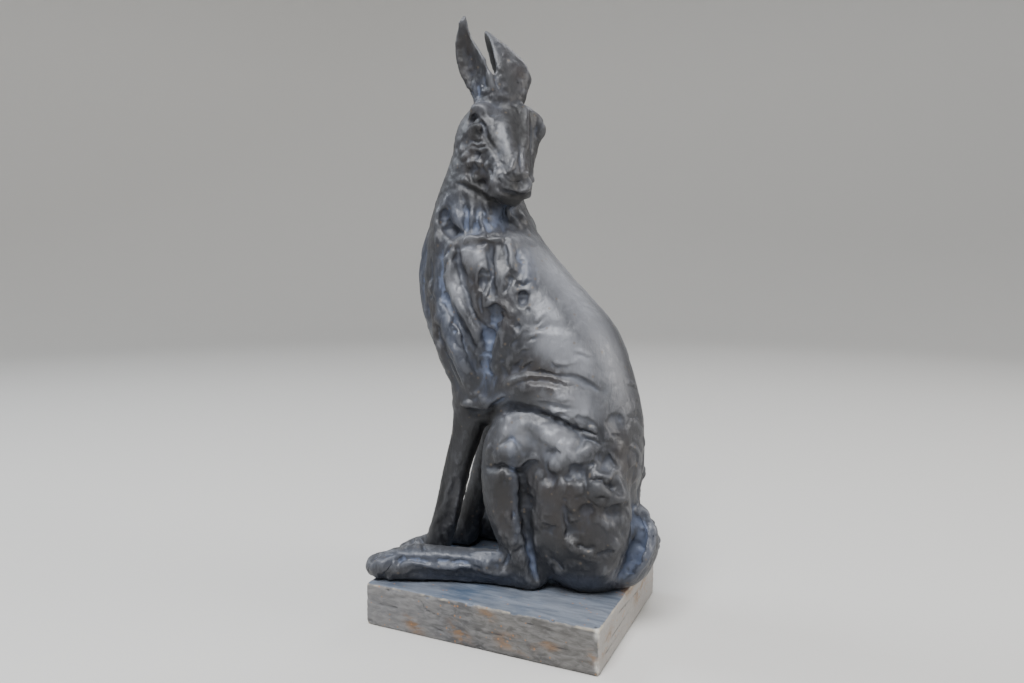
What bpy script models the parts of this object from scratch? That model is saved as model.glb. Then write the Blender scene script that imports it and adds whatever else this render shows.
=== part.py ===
"""Seated hare looking back over its shoulder, cast as one piece, on a rectangular plinth.

The hare faces -X and its left side is towards -Y. The origin is the middle of the plinth's underside.
"""

import math

import bmesh
import bpy
import numpy as np
from mathutils import Matrix, Vector
from mathutils.bvhtree import BVHTree

# Driving dimensions, in metres
HARE_HEIGHT = 0.439
PLINTH_LENGTH = 0.192
PLINTH_DEPTH = 0.151
PLINTH_HEIGHT = 0.034
PLINTH_EDGE_ROUND = 0.0022
HARE_FROM_FRONT_EDGE = 0.0815
SEAT_GAP = 0.0003

# The sculptor's grid: the hare's shapes are given in parts of its height, measured from its own middle
# plane and from the plinth's top. X is towards the tail, Y is towards the hare's right side, Z is up.
PARTS_IN_HEIGHT = 439
PART = HARE_HEIGHT / PARTS_IN_HEIGHT
LEFT = -1
RIGHT = 1

# How fine the clay is worked, in parts, rings and steps
CLAY_GRAIN = 2.0
RING_SIDES = 28
STEPS_BETWEEN_STATIONS = 5
MARK_STEPS = 8
HARE_TRIANGLES = 8600

# How the pose and the head differ from plain symmetrical shapes, in parts
EAR_ROOT_WALL = 6.5
EAR_TIP_WALL = 4.2
FACE_TAPER = 0.22
RIGHT_KNEE_FORWARD = 8
RIGHT_FOOT_SPLAY = 0.55
RIGHT_FORELEG_BACK = 4

# The head's own axes: it looks back over the left shoulder, with the nose held low
HEAD_TURN = math.radians(-50)
NOSE_DROP = math.radians(59)
CROWN = Vector((-12, -8, 372))
HEAD_FORWARD = Vector((math.cos(HEAD_TURN), math.sin(HEAD_TURN), 0))
HEAD_LEFT = Vector((-math.sin(HEAD_TURN), math.cos(HEAD_TURN), 0))
MUZZLE_WAY = HEAD_FORWARD * math.cos(NOSE_DROP) - Vector((0, 0, math.sin(NOSE_DROP)))
FACE_WAY = MUZZLE_WAY.cross(HEAD_LEFT).normalized()


def clear_scene():
    for obj in list(bpy.data.objects):
        bpy.data.objects.remove(obj)


def material(name, colour, roughness, metallic):
    made = bpy.data.materials.new(name)
    made.use_nodes = True
    shader = made.node_tree.nodes["Principled BSDF"]
    shader.inputs["Base Color"].default_value = (*colour, 1)
    shader.inputs["Roughness"].default_value = roughness
    shader.inputs["Metallic"].default_value = metallic
    made.diffuse_color = (*colour, 1)
    return made


def link_mesh(name, mesh, finish=None):
    obj = bpy.data.objects.new(name, mesh)
    bpy.context.scene.collection.objects.link(obj)
    if finish:
        mesh.materials.clear()
        mesh.materials.append(finish)
    return obj


def flowing(stations, steps=STEPS_BETWEEN_STATIONS):
    """Rows between the given rows, on a smooth curve through all of them (Catmull-Rom)."""
    rows = [np.array(row, float) for row in stations]
    rows = [2 * rows[0] - rows[1], *rows, 2 * rows[-1] - rows[-2]]
    made = []
    for a, b, c, d in zip(rows, rows[1:], rows[2:], rows[3:]):
        for step in range(steps):
            t = step / steps
            square, cube = 2 * a - 5 * b + 4 * c - d, 3 * b - a - 3 * c + d
            made.append(0.5 * (2 * b + (c - a) * t + square * t**2 + cube * t**3))
    made.append(rows[-2])
    return made


def skin_rings(clay, rings):
    """Joins rings of points into one closed tube. Each end is closed on a point in its middle."""
    loops = [[clay.verts.new(point) for point in ring] for ring in rings]
    for near, far in zip(loops, loops[1:]):
        for i in range(len(near)):
            j = (i + 1) % len(near)
            clay.faces.new((near[i], near[j], far[j], far[i]))
    for loop, turned in ((loops[0], True), (loops[-1], False)):
        middle = clay.verts.new(sum((v.co for v in loop), Vector()) / len(loop))
        for i in range(len(loop)):
            j = (i + 1) % len(loop)
            clay.faces.new((loop[j], loop[i], middle) if turned else (loop[i], loop[j], middle))


def limb(clay, stations, side=(0, 1, 0), blunt=0.8):
    """A tube along stations of (x, y, z, half-width along side, half-depth), with rounded ends."""
    rows = flowing(stations)
    points = [Vector(row[:3]) for row in rows]
    rings = []
    for i, row in enumerate(rows):
        along = (points[min(i + 1, len(rows) - 1)] - points[max(i - 1, 0)]).normalized()
        across = (Vector(side) - along * along.dot(Vector(side))).normalized()
        deep = along.cross(across)
        end = -1 if i == 0 else 1 if i == len(rows) - 1 else 0
        shrinks = [(0, 1)]
        if end:
            shrinks = [(blunt * math.sin(a), math.cos(a)) for a in np.radians((0, 25, 50, 70, 82))]
        ends = []
        for push, shrink in shrinks:
            centre = points[i] + along * end * push * min(row[3], row[4])
            ends.append(
                [
                    centre + across * (math.cos(a) * row[3] * shrink) + deep * (math.sin(a) * row[4] * shrink)
                    for a in np.linspace(0, 2 * math.pi, RING_SIDES, endpoint=False)
                ]
            )
        rings += reversed(ends) if end < 0 else ends
    skin_rings(clay, rings)


def lump(clay, centre, radii, lean=0.0, axes=None):
    """An egg of clay. Lean tips it about Y, in degrees; axes sets its own frame instead."""
    spin = Matrix.Rotation(math.radians(lean), 4, "Y")
    if axes:
        spin = Matrix(axes).transposed().to_4x4()
    place = Matrix.Translation(Vector(centre)) @ spin @ Matrix.Diagonal((*radii, 1))
    bmesh.ops.create_icosphere(clay, subdivisions=3, radius=1, matrix=place)


def torso(clay):
    """Level slices of (height, front, back, half-width, how much broader the back is than the front)."""
    slices = [
        (-6, 40, 84, 24, 0.0),
        (4, 30, 92, 33, 0.0),
        (24, 20, 98, 42, 0.0),
        (46, 12, 101, 48, 0.0),
        (66, 6, 97, 51, 0.0),
        (86, 2, 101, 52, 0.0),
        (106, -4, 102, 52, 0.05),
        (131, -36, 101, 50, 0.10),
        (156, -60, 95, 49, 0.14),
        (186, -78, 85, 49, 0.16),
        (206, -84, 73, 48, 0.14),
        (236, -86, 43, 45, 0.10),
        (266, -80, 17, 40, 0.05),
        (296, -71, 1, 34, 0.0),
        (316, -62, -8, 30, 0.0),
        (334, -54, -9, 26, 0.0),
        (350, -44, -14, 16, 0.0),
    ]
    rings = []
    for height, front, back, half_width, broader in flowing(slices):
        middle, half_length = (front + back) / 2, (back - front) / 2
        rings.append(
            [
                Vector(
                    (
                        middle + half_length * math.cos(a),
                        half_width * math.sin(a) * (1 + broader * math.cos(a)),
                        height,
                    )
                )
                for a in np.linspace(0, 2 * math.pi, RING_SIDES * 2, endpoint=False)
            ]
        )
    skin_rings(clay, rings)


def haunch(clay, y):
    """Thigh, bent knee, shank and the long hind foot laid flat. The right knee is drawn further forward."""
    if y == LEFT:
        lump(clay, (56, 32 * y, 70), (47, 23, 64), lean=-8)
        lump(clay, (80, 22 * y, 58), (19, 22, 46))
    else:
        lump(clay, (49, 33 * y, 72), (44, 21, 64), lean=-6)
        lump(clay, (74, 14 * y, 60), (16, 18, 42))
    knee = 0 if y == LEFT else RIGHT_KNEE_FORWARD
    lump(clay, (10 - knee, 40 * y, 104), (23, 16, 33), lean=12)
    lump(clay, (62, 26 * y, 26), (33, 18, 24))
    limb(
        clay,
        [
            (5 - knee, 42 * y, 92, 15, 18),
            (7 - knee, 42 * y, 68, 14, 18),
            (13 - knee, 40 * y, 45, 13, 16),
            (21, 37 * y, 22, 13, 15),
            (27, 35 * y, 8, 12, 14),
        ],
    )
    splay = 1 if y == LEFT else RIGHT_FOOT_SPLAY
    limb(
        clay,
        [
            (26, 35 * y, 10, 13, 12),
            (10, (35 + 4 * splay) * y, 13.5, 12, 13.5),
            (-15, (35 + 9 * splay) * y, 13.5, 11.5, 13.5),
            (-42, (35 + 16 * splay) * y, 13.5, 12, 13.5),
            (-68, (35 + 24 * splay) * y, 13.5, 14.5, 14.5),
            (-88, (35 + 29 * splay) * y, 11, 15, 12.5),
            (-97, (35 + 31 * splay) * y, 8, 13, 9),
        ],
        blunt=0.7,
    )


def foreleg(clay, y):
    """Straight foreleg and its paw. The right one stands a little further back."""
    back = 0 if y == LEFT else RIGHT_FORELEG_BACK
    limb(
        clay,
        [
            (-26, 27 * y, 160, 15, 22),
            (-30 + back, 26 * y, 135, 13, 16),
            (-35 + back, 25 * y, 112, 11.5, 12.5),
            (-43 + back, 24 * y, 88, 11, 11.5),
            (-52 + back, 23 * y, 54, 10.5, 11),
            (-60 + back, 22 * y, 28, 10.5, 11),
            (-65 + back, 22 * y, 13, 11.5, 12),
        ],
    )
    limb(
        clay,
        [
            (-62 + back, 22 * y, 10, 11, 10),
            (-76 + back, 23 * y, 11, 12, 11),
            (-88 + back, 24 * y, 10, 12.5, 10.5),
            (-95 + back, 24 * y, 7, 10, 7),
        ],
    )


def shoulder(clay, y):
    lump(clay, (-28, 30 * y, 188), (32, 17, 50), lean=-18)


def tail(clay):
    """A short scut, turned up against the rump."""
    limb(
        clay,
        [
            (86, 0, 6, 19, 9),
            (98, 0, 14, 21, 10),
            (106, 0, 29, 20, 8),
            (107.5, 0, 43, 16, 7),
            (101, 0, 56, 10, 7),
            (96, 0, 63, 6, 6),
        ],
    )


def on_head(down, left, out):
    """A point on the head: down the face from the crown, to the hare's left, and out of the face."""
    return CROWN + MUZZLE_WAY * down + HEAD_LEFT * left + FACE_WAY * out


def head(clay):
    """Slices down the face of (distance from the crown, half-width, face plane, underside)."""
    slices = [
        (-15, 11, -15, -34),
        (-9, 20, -8, -43),
        (0, 28, -2, -50),
        (12, 33, 1, -56),
        (22, 34, 2, -58),
        (36, 29, 2, -55),
        (48, 21.5, 2, -46),
        (60, 16.5, 2, -36),
        (71, 15, 1, -29),
        (78, 12, -3, -25),
        (82, 6, -8, -20),
    ]
    rings = []
    for down, half_width, face, under in flowing(slices):
        middle, half_depth = (face + under) / 2, (face - under) / 2
        ring = []
        for a in np.linspace(0, 2 * math.pi, RING_SIDES, endpoint=False):
            across = math.copysign(abs(math.cos(a)) ** 0.75, math.cos(a))
            out = math.copysign(abs(math.sin(a)) ** 0.75, math.sin(a))
            narrower = 1 - FACE_TAPER * max(out, 0)
            ring.append(on_head(down, half_width * across * narrower, middle + half_depth * out))
        rings.append(ring)
    skin_rings(clay, rings)
    axes = (HEAD_LEFT, FACE_WAY, MUZZLE_WAY)
    lump(clay, on_head(17, 31, -13), (7, 7, 8), axes=axes)
    lump(clay, on_head(10, 25, -10), (9, 8, 9), axes=axes)
    lump(clay, on_head(23, -22, -5), (5, 4, 5), axes=axes)
    for sign in (1, -1):
        lump(clay, on_head(9, 17 * sign, -3), (9, 5, 9), axes=axes)
        lump(clay, on_head(44, 15 * sign, -32), (12, 17, 16), axes=axes)
        lump(clay, on_head(72, 8 * sign, -12), (9, 11, 11), axes=axes)
    lump(clay, on_head(78, 1, -20), (9, 8, 8), axes=axes)
    lump(clay, on_head(74, 0, -3), (8, 5, 5), axes=axes)


def ear(clay, stations, root_opening, tip_opening):
    """A leaf of clay cupped towards its opening, along stations of (x, y, z, half-width, cup)."""
    rows = flowing(stations)
    points = [Vector(row[:3]) for row in rows]
    rings = []
    for i, row in enumerate(rows):
        along = (points[min(i + 1, len(rows) - 1)] - points[max(i - 1, 0)]).normalized()
        opening = Vector(root_opening).lerp(Vector(tip_opening), i / len(rows))
        facing = (opening - along * along.dot(opening)).normalized()
        across = along.cross(facing)
        wall = EAR_TIP_WALL + (EAR_ROOT_WALL - EAR_TIP_WALL) * (1 - i / len(rows))
        half_width, cup = row[3], row[4]
        ring = []
        for a in np.linspace(0, 2 * math.pi, RING_SIDES, endpoint=False):
            u = math.cos(a)
            slope = Vector((-2 * cup * u, half_width)).normalized()
            half_wall = math.copysign(abs(math.sin(a)) ** 0.5, math.sin(a)) * min(wall, half_width * 2) / 2
            wide = half_width * u + slope.x * half_wall
            out = slope.y * half_wall - cup * (1 - u * u)
            ring.append(points[i] + across * wide + facing * out)
        rings.append(ring)
    skin_rings(clay, rings)


def ears(clay):
    """The right ear shows its hollow to the left side, the left ear shows its back."""
    ear(
        clay,
        [
            (-22, -11, 368, 9, 2),
            (-28.5, -13, 384, 11.5, 5),
            (-33.6, -14, 395, 12.6, 7),
            (-37.9, -14, 405, 12, 7),
            (-41.4, -14, 414, 9.8, 5),
            (-42.3, -14, 421, 8, 3),
            (-41.9, -14, 430, 5.3, 1),
            (-40.2, -14, 439, 2, 0),
        ],
        root_opening=(-0.1, -0.98, 0.15),
        tip_opening=(-0.1, -0.98, 0.15),
    )
    ear(
        clay,
        [
            (-17, 6, 368, 14, 16),
            (-23, 8, 384, 17, 26),
            (-26, 8, 396, 17, 26),
            (-30, 8, 409, 14, 19),
            (-33.5, 8, 421, 9, 9),
            (-36, 8, 431.5, 3, 1),
        ],
        root_opening=(-0.97, -0.25, 0.1),
        tip_opening=(-0.78, -0.62, 0.1),
    )


def shape_clay():
    """Every mass of the hare in one mesh, in parts, still overlapping."""
    clay = bmesh.new()
    torso(clay)
    for shape in (haunch, shoulder, foreleg):
        shape(clay, LEFT)
        shape(clay, RIGHT)
    tail(clay)
    head(clay)
    ears(clay)
    mesh = bpy.data.meshes.new("clay")
    clay.to_mesh(mesh)
    clay.free()
    return mesh


def evaluated(obj):
    """The mesh of an object with its modifiers, and the object itself removed."""
    graph = bpy.context.evaluated_depsgraph_get()
    mesh = bpy.data.meshes.new_from_object(obj.evaluated_get(graph), depsgraph=graph)
    bpy.data.objects.remove(obj)
    return mesh


def fused(mesh, grain):
    """The overlapping masses made one skin."""
    obj = link_mesh("fusing", mesh)
    remesh = obj.modifiers.new("fuse", "REMESH")
    remesh.mode = "VOXEL"
    remesh.voxel_size = grain
    return evaluated(obj)


def points_of(mesh):
    points = np.empty(len(mesh.vertices) * 3)
    mesh.vertices.foreach_get("co", points)
    return points.reshape(-1, 3)


def move_points(mesh, points):
    mesh.vertices.foreach_set("co", points.astype(np.float32).ravel())
    mesh.update()


def normals_of(mesh):
    normals = np.empty(len(mesh.vertices) * 3)
    mesh.vertex_normals.foreach_get("vector", normals)
    return normals.reshape(-1, 3)


def edges_of(mesh):
    edges = np.empty(len(mesh.edges) * 2, np.int64)
    mesh.edges.foreach_get("vertices", edges)
    return edges.reshape(-1, 2)


def neighbour_mean(points, edges, count):
    total = np.zeros_like(points)
    for axis in range(3):
        total[:, axis] = np.bincount(edges[:, 0], points[edges[:, 1], axis], len(points))
        total[:, axis] += np.bincount(edges[:, 1], points[edges[:, 0], axis], len(points))
    return total / count[:, None]


def smooth_clay(mesh, fill_rounds, relax_rounds):
    """Fills the creases where masses meet, as a thumb does, then relaxes the whole skin."""
    edges = edges_of(mesh)
    points = points_of(mesh)
    count = np.bincount(edges.ravel(), minlength=len(points)).astype(float)
    for turn in range(fill_rounds + relax_rounds):
        move = neighbour_mean(points, edges, count) - points
        if turn < fill_rounds:
            move_points(mesh, points)
            normals = normals_of(mesh)
            rise = np.maximum((move * normals).sum(1), 0)
            points = points + normals * rise[:, None]
        else:
            points = points + 0.5 * move
    move_points(mesh, points)


# Tool marks, each (width, depth, points) in parts. A negative depth cuts and a positive one lays clay on.
# On a flank the points are (x, z), on the breast (y, z), from above (x, y) and on the face (left, down).
FLANK_MARKS = {
    "long lock": (8, 3.0, [(-41, 258), (-38, 239), (-25, 216), (-12, 193)]),
    "cut behind the long lock": (6, -4.5, [(-32, 260), (-26, 228), (-19, 210), (-9, 196), (-6, 186)]),
    "broad lock": (9, 2.5, [(-19, 258), (-9, 230), (-3, 217)]),
    "thumb print in the broad lock": (6, -4.0, [(-10, 240), (-9, 233)]),
    "cut behind the broad lock": (5, -3.5, [(-6, 262), (-4, 241), (0, 222)]),
    "shoulder lock": (11, 2.5, [(2, 262), (8, 250), (6, 232)]),
    "dimple behind the shoulder lock": (6, -4.0, [(21, 225), (22, 220)]),
    "hollow above the elbow": (9, -4.5, [(0, 212), (-4, 198), (-8, 184), (-12, 164), (-14, 148)]),
    "top of that hollow": (7, -3.5, [(1, 211)]),
    "hole at the side of the neck": (7, -5.0, [(-49, 283), (-42, 272)]),
    "neck cord before the hole": (6, 2.5, [(-56, 290), (-57, 272), (-52, 258)]),
    "hole below the long lock": (6, -4.0, [(-47, 220), (-42, 214)]),
    "cut under the long lock": (6, -3.5, [(-44, 214), (-33, 204), (-24, 192), (-17, 180), (-12, 166)]),
    "breast lock": (7, 3.0, [(-45, 208), (-37, 188), (-29, 168), (-24, 150)]),
    "small breast lock": (6, 2.5, [(-35, 200), (-28, 186), (-22, 172)]),
    "upper breast cut": (5, -3.0, [(-54, 256), (-58, 238), (-63, 220)]),
    "lower breast cut": (5, -3.0, [(-62, 214), (-50, 190), (-42, 168), (-36, 150)]),
    "breast cord": (6, 2.5, [(-52, 256), (-56, 240), (-58, 224)]),
    "edge of the ruff": (6, 3.0, [(-33, 265), (-18, 266), (-3, 267), (10, 263)]),
    "shade above the ruff": (7, -3.5, [(-34, 275), (-18, 275), (-2, 277), (8, 274)]),
    "throat cut": (4, -3.0, [(-33, 300), (-28, 282)]),
    "second throat cut": (4, -3.0, [(-21, 298), (-17, 281)]),
    "third throat cut": (4, -3.0, [(-9, 296), (-5, 281)]),
    "ledge over the foreleg": (6, 3.5, [(-33, 141), (-18, 140), (-6, 144)]),
    "shade under the ledge": (5, -3.5, [(-31, 131), (-18, 131), (-8, 136)]),
    "short fold behind the shoulder": (5, -2.0, [(32, 203), (44, 203), (56, 199)]),
    "flank fold": (8, -4.0, [(-2, 158), (6, 166), (20, 171), (38, 169), (52, 169), (64, 165), (78, 158)]),
    "roll under the flank fold": (8, 2.5, [(6, 154), (25, 158), (45, 157), (62, 153)]),
    "belly fold": (5, -2.5, [(28, 149), (44, 149), (60, 144)]),
    "crease over the thigh": (
        6, -6.0, [(-2, 135), (10, 140), (24, 141), (41, 138), (56, 132), (70, 126), (79, 122)]
    ),
    "top of the thigh": (9, 3.0, [(4, 129), (22, 131), (40, 127), (54, 120)]),
    "knee arch": (6, -3.5, [(-4, 96), (10, 99), (26, 95)]),
    "knee cap": (8, 2.0, [(5, 108), (17, 109)]),
    "cut between shank and thigh": (
        6, -5.0, [(24, 97), (25, 78), (27, 59), (29, 42), (31, 27), (33, 13), (34, 6)]
    ),
    "shin": (7, 2.0, [(2, 84), (5, 62), (11, 42), (17, 27)]),
    "thigh cut": (6, -3.0, [(59, 84), (60, 64), (66, 50), (73, 44)]),
    "thigh muscle": (9, 2.0, [(42, 92), (43, 74), (45, 56)]),
    "side of the foot": (5, -2.5, [(-58, 13), (-30, 11), (-5, 10), (14, 9)]),
    "tendon of the foot": (5, 2.0, [(-66, 24), (-38, 23), (-10, 22), (8, 24)]),
    "hollow beside the tail": (8, -5.0, [(100, 58), (104, 44), (102, 30), (96, 15)]),
}
THIGH_KNOBS = [(45, 123), (60, 114), (51, 102), (86, 97), (57, 86), (81, 87), (66, 42), (88, 80), (34, 108)]
THIGH_DENTS = [(48, 94), (70, 100), (86, 106), (93, 90), (91, 70), (74, 74), (46, 112), (70, 120), (76, 60)]
KNOB = (10, 3.0)
DENT = (9, -3.2)
BREAST_MARKS = {
    "breastbone cut": (6, -3.0, [(2, 268), (-3, 240), (2, 212), (-2, 186)]),
    "left breast lock": (7, 2.5, [(-13, 270), (-14, 244), (-9, 216), (-4, 196)]),
    "right breast lock": (7, 2.5, [(14, 262), (12, 238), (14, 212), (8, 190)]),
    "left outer cut": (5, -3.0, [(-22, 262), (-22, 238), (-17, 212)]),
    "right outer cut": (5, -3.0, [(23, 268), (21, 240), (22, 214)]),
    "point of the breast": (8, 3.0, [(0, 180), (0, 164)]),
    "cut between the shoulders": (6, -4.0, [(-3, 160), (0, 142)]),
    "throat hollow": (8, -2.5, [(0, 305), (0, 286)]),
}
FACE_MARKS = {
    "right eye socket": (6, -5.0, [(-25, 14), (-21, 15)]),
    "right tear line": (5, -3.0, [(-16, 20), (-15, 32), (-11, 44), (-9, 54)]),
    "fold under the right eye": (4, -2.5, [(-27, 31), (-20, 33)]),
    "right cheek": (8, 2.5, [(-26, 42), (-22, 52)]),
    "right brow": (5, 2.5, [(-23, 7), (-16, 9), (-12, 20), (-9, 34)]),
    "left brow": (5, 2.0, [(18, 6), (17, 22), (14, 42), (11, 62)]),
    "left eye socket": (6, -3.0, [(24, 24), (20, 38), (15, 52)]),
    "left eye": (6, 2.0, [(31, 16)]),
    "bridge of the nose": (7, 1.5, [(0, 14), (0, 40), (0, 66)]),
    "right side of the bridge": (5, -1.8, [(-8, 26), (-6, 44), (-5, 60)]),
    "left side of the bridge": (5, -1.8, [(8, 26), (7, 44), (6, 60)]),
    "forehead hollow": (8, -1.8, [(-3, 2), (-1, 10)]),
    "edge of the nose": (4, -2.0, [(-7, 72), (0, 69), (7, 72)]),
    "mouth": (4, -2.5, [(-12, 74), (-5, 79), (3, 80), (11, 76)]),
}
TOE_GAPS = (-8, -2.5, 3, 8.5)
TOE_CUT = (5, -4.0)
FOREPAW_GAPS = (-6, 0, 6)
# The right flank repeats the left's marks a little lower, further back and shallower, as handwork would
RIGHT_FLANK_SHIFT = (3, -4)
RIGHT_FLANK_DEPTH = 0.85
# Pins are pushed in from here: well outside the hare, and for its feet from under its belly
FAR_OUT = PARTS_IN_HEIGHT
ABOVE_THE_FEET = 60


def pinned(skin, start, way):
    """Where a pin pushed from outside meets the skin, and the way it was pushed."""
    hit = skin.ray_cast(Vector(start), Vector(way))[0]
    return hit, Vector(way)


def on_left(skin, x, z):
    return pinned(skin, (x, -FAR_OUT, z), (0, 1, 0))


def on_right(skin, x, z):
    return pinned(skin, (x + RIGHT_FLANK_SHIFT[0], FAR_OUT, z + RIGHT_FLANK_SHIFT[1]), (0, -1, 0))


def on_breast(skin, y, z):
    return pinned(skin, (-FAR_OUT, y, z), (1, 0, 0))


def on_foot(skin, x, y):
    return pinned(skin, (x, y, ABOVE_THE_FEET), (0, 0, -1))


def on_face(skin, left, down):
    return pinned(skin, on_head(down, left, FAR_OUT), -FACE_WAY)


def every_mark():
    """All tool marks as (where, width, depth, points)."""
    for width, depth, points in FLANK_MARKS.values():
        yield on_left, width, depth, points
        yield on_right, width, depth * RIGHT_FLANK_DEPTH, points
    for (width, depth), spots in ((KNOB, THIGH_KNOBS), (DENT, THIGH_DENTS)):
        for spot in spots:
            yield on_left, width, depth, [spot]
            yield on_right, width, depth * RIGHT_FLANK_DEPTH, [spot]
    for width, depth, points in BREAST_MARKS.values():
        yield on_breast, width, depth, points
    for width, depth, points in FACE_MARKS.values():
        yield on_face, width, depth, points
    for y, instep, toes in ((LEFT, 58, 64), (RIGHT, 48, 52)):
        for gap in TOE_GAPS:
            yield on_foot, *TOE_CUT, [(-72, y * instep + gap), (-84, y * toes + gap), (-98, y * toes + gap)]
        for gap in FOREPAW_GAPS:
            yield on_foot, *TOE_CUT, [(-82, y * 24 + gap), (-98, y * 24 + gap)]


def carve(mesh):
    """Moves the skin in or out along every tool mark, fading to nothing at the mark's width and ends."""
    points = points_of(mesh)
    normals = normals_of(mesh)
    skin = BVHTree.FromPolygons(points.tolist(), [tuple(face.vertices) for face in mesh.polygons])
    rise = np.zeros(len(points))
    for where, width, depth, spots in every_mark():
        trail = flowing(spots, MARK_STEPS) if len(spots) > 1 else spots
        hits = [where(skin, *spot) for spot in trail]
        strength = np.zeros(len(points))
        for i, (hit, way) in enumerate(hits):
            if hit is None:
                continue
            share = i / max(len(hits) - 1, 1)
            fade = 1 if len(hits) == 1 else math.sqrt(min(1, (share + 0.05) / 0.3, (1.05 - share) / 0.3))
            off = points - np.array(hit)
            near = 1 - (off * off).sum(1) / width**2
            facing = normals @ np.array(way) < 0.1
            strength = np.maximum(strength, np.where((near > 0) & facing, near * near * fade, 0))
        rise += depth * strength
    move_points(mesh, points + normals * rise[:, None])


def flat_underside(mesh):
    """Cuts away what hangs below the plinth's top and closes the cuts."""
    clay = bmesh.new()
    clay.from_mesh(mesh)
    everything = clay.verts[:] + clay.edges[:] + clay.faces[:]
    cut = bmesh.ops.bisect_plane(
        clay, geom=everything, dist=1e-5, plane_co=(0, 0, 0), plane_no=(0, 0, -1), clear_outer=True
    )
    rim = [e for e in cut["geom_cut"] if isinstance(e, bmesh.types.BMEdge)]
    bmesh.ops.holes_fill(clay, edges=rim, sides=0)
    bmesh.ops.triangulate(clay, faces=clay.faces[:])
    clay.to_mesh(mesh)
    clay.free()


def hare(finish):
    mesh = fused(shape_clay(), CLAY_GRAIN)
    smooth_clay(mesh, 14, 3)
    carve(mesh)
    smooth_clay(mesh, 0, 1)
    obj = link_mesh("thinning", mesh)
    thin = obj.modifiers.new("fewer faces", "DECIMATE")
    thin.ratio = HARE_TRIANGLES / (2 * len(mesh.polygons))
    mesh = evaluated(obj)
    flat_underside(mesh)
    middle = HARE_FROM_FRONT_EDGE - PLINTH_DEPTH / 2
    mesh.transform(Matrix.Translation((0, middle, PLINTH_HEIGHT + SEAT_GAP)) @ Matrix.Scale(PART, 4))
    mesh.shade_smooth()
    return link_mesh("hare", mesh, finish)


def plinth(finish):
    slab = bmesh.new()
    size = Matrix.Diagonal((PLINTH_LENGTH, PLINTH_DEPTH, PLINTH_HEIGHT, 1))
    bmesh.ops.create_cube(slab, size=1, matrix=Matrix.Translation((0, 0, PLINTH_HEIGHT / 2)) @ size)
    mesh = bpy.data.meshes.new("plinth")
    slab.to_mesh(mesh)
    slab.free()
    obj = link_mesh("plinth", mesh, finish)
    edge = obj.modifiers.new("rounded edges", "BEVEL")
    edge.width = PLINTH_EDGE_ROUND
    edge.segments = 3
    edge.limit_method = "NONE"
    return obj


def main():
    clear_scene()
    hare(material("dark bronze patina", (0.055, 0.056, 0.066), 0.42, 0.35))
    plinth(material("grey blue plinth paint", (0.16, 0.18, 0.21), 0.6, 0.1))


main()
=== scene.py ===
# %% [markdown]
# # A seated hare, modelled in rough clay and cast in resin
# The real object is a garden and mantel ornament: a hare that sits up and looks back over its shoulder,
# modelled by hand in soft clay, cast in stone-filled resin, and painted like dark bronze that has
# weathered. It stands on a low plinth with worn grey-blue paint. This lesson takes the plain solids of
# the part and gives them what the maker's thumbs, knife and brushes left. First comes the frame, with its
# box, because everything that is made here has to stay inside that box.

# %% Load the frame and keep its box
import math

import bpy
import numpy as np
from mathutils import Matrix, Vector, kdtree, noise
from mathutils.bvhtree import BVHTree


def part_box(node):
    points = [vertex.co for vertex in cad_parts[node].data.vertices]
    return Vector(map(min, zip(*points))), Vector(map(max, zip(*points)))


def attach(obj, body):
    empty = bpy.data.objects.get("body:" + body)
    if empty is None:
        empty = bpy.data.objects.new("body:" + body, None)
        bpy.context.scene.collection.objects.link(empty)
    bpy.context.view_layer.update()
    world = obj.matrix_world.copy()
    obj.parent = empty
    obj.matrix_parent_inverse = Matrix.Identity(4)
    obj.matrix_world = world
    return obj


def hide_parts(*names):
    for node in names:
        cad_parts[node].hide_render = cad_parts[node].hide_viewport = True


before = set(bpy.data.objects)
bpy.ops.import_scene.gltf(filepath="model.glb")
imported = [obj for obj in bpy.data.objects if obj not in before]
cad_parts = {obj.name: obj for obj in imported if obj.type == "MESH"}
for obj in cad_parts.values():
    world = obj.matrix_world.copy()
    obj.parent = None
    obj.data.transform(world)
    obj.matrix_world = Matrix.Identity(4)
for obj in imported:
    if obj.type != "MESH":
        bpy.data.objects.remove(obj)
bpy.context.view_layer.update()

# %% [markdown]
# ## The camera
# The picture of the real object was taken from a little above its middle, turned a quarter of the way
# from its left side towards its tail. The camera comes first, because the marks on the clay are drawn
# through it later: a mark is a row of points in the picture, and each point is a line of sight that ends
# on the figure.

# %% Set up the camera
PICTURE_WIDTH = 1024
PICTURE_HEIGHT = 683
FOCAL_LENGTH_IN_PIXELS = 780
CAMERA_PLACE = Vector((0.251376, -0.559736, 0.286451))
CAMERA_TILT = math.radians(90 - 6.173)
CAMERA_TURN = math.radians(24.5194)

camera_data = bpy.data.cameras.new("camera")
camera_data.sensor_width = 36
camera_data.lens = FOCAL_LENGTH_IN_PIXELS / PICTURE_WIDTH * camera_data.sensor_width
camera_data.clip_start = 0.01
camera = bpy.data.objects.new("camera", camera_data)
camera.location = CAMERA_PLACE
camera.rotation_euler = (CAMERA_TILT, 0, CAMERA_TURN)
bpy.context.collection.objects.link(camera)
bpy.context.scene.camera = camera
bpy.context.view_layer.update()
print("lens", round(camera_data.lens, 2), "mm")

# %% Lines of sight
camera_turn = camera.matrix_world.to_3x3()


def line_of_sight(across, down):
    """The way in which the camera looks through one point of the picture."""
    right = (across - PICTURE_WIDTH / 2) / FOCAL_LENGTH_IN_PIXELS
    up = (PICTURE_HEIGHT / 2 - down) / FOCAL_LENGTH_IN_PIXELS
    return (camera_turn @ Vector((right, up, -1))).normalized()


print("the middle of the picture looks along", tuple(round(c, 3) for c in line_of_sight(512, 341.5)))

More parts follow.
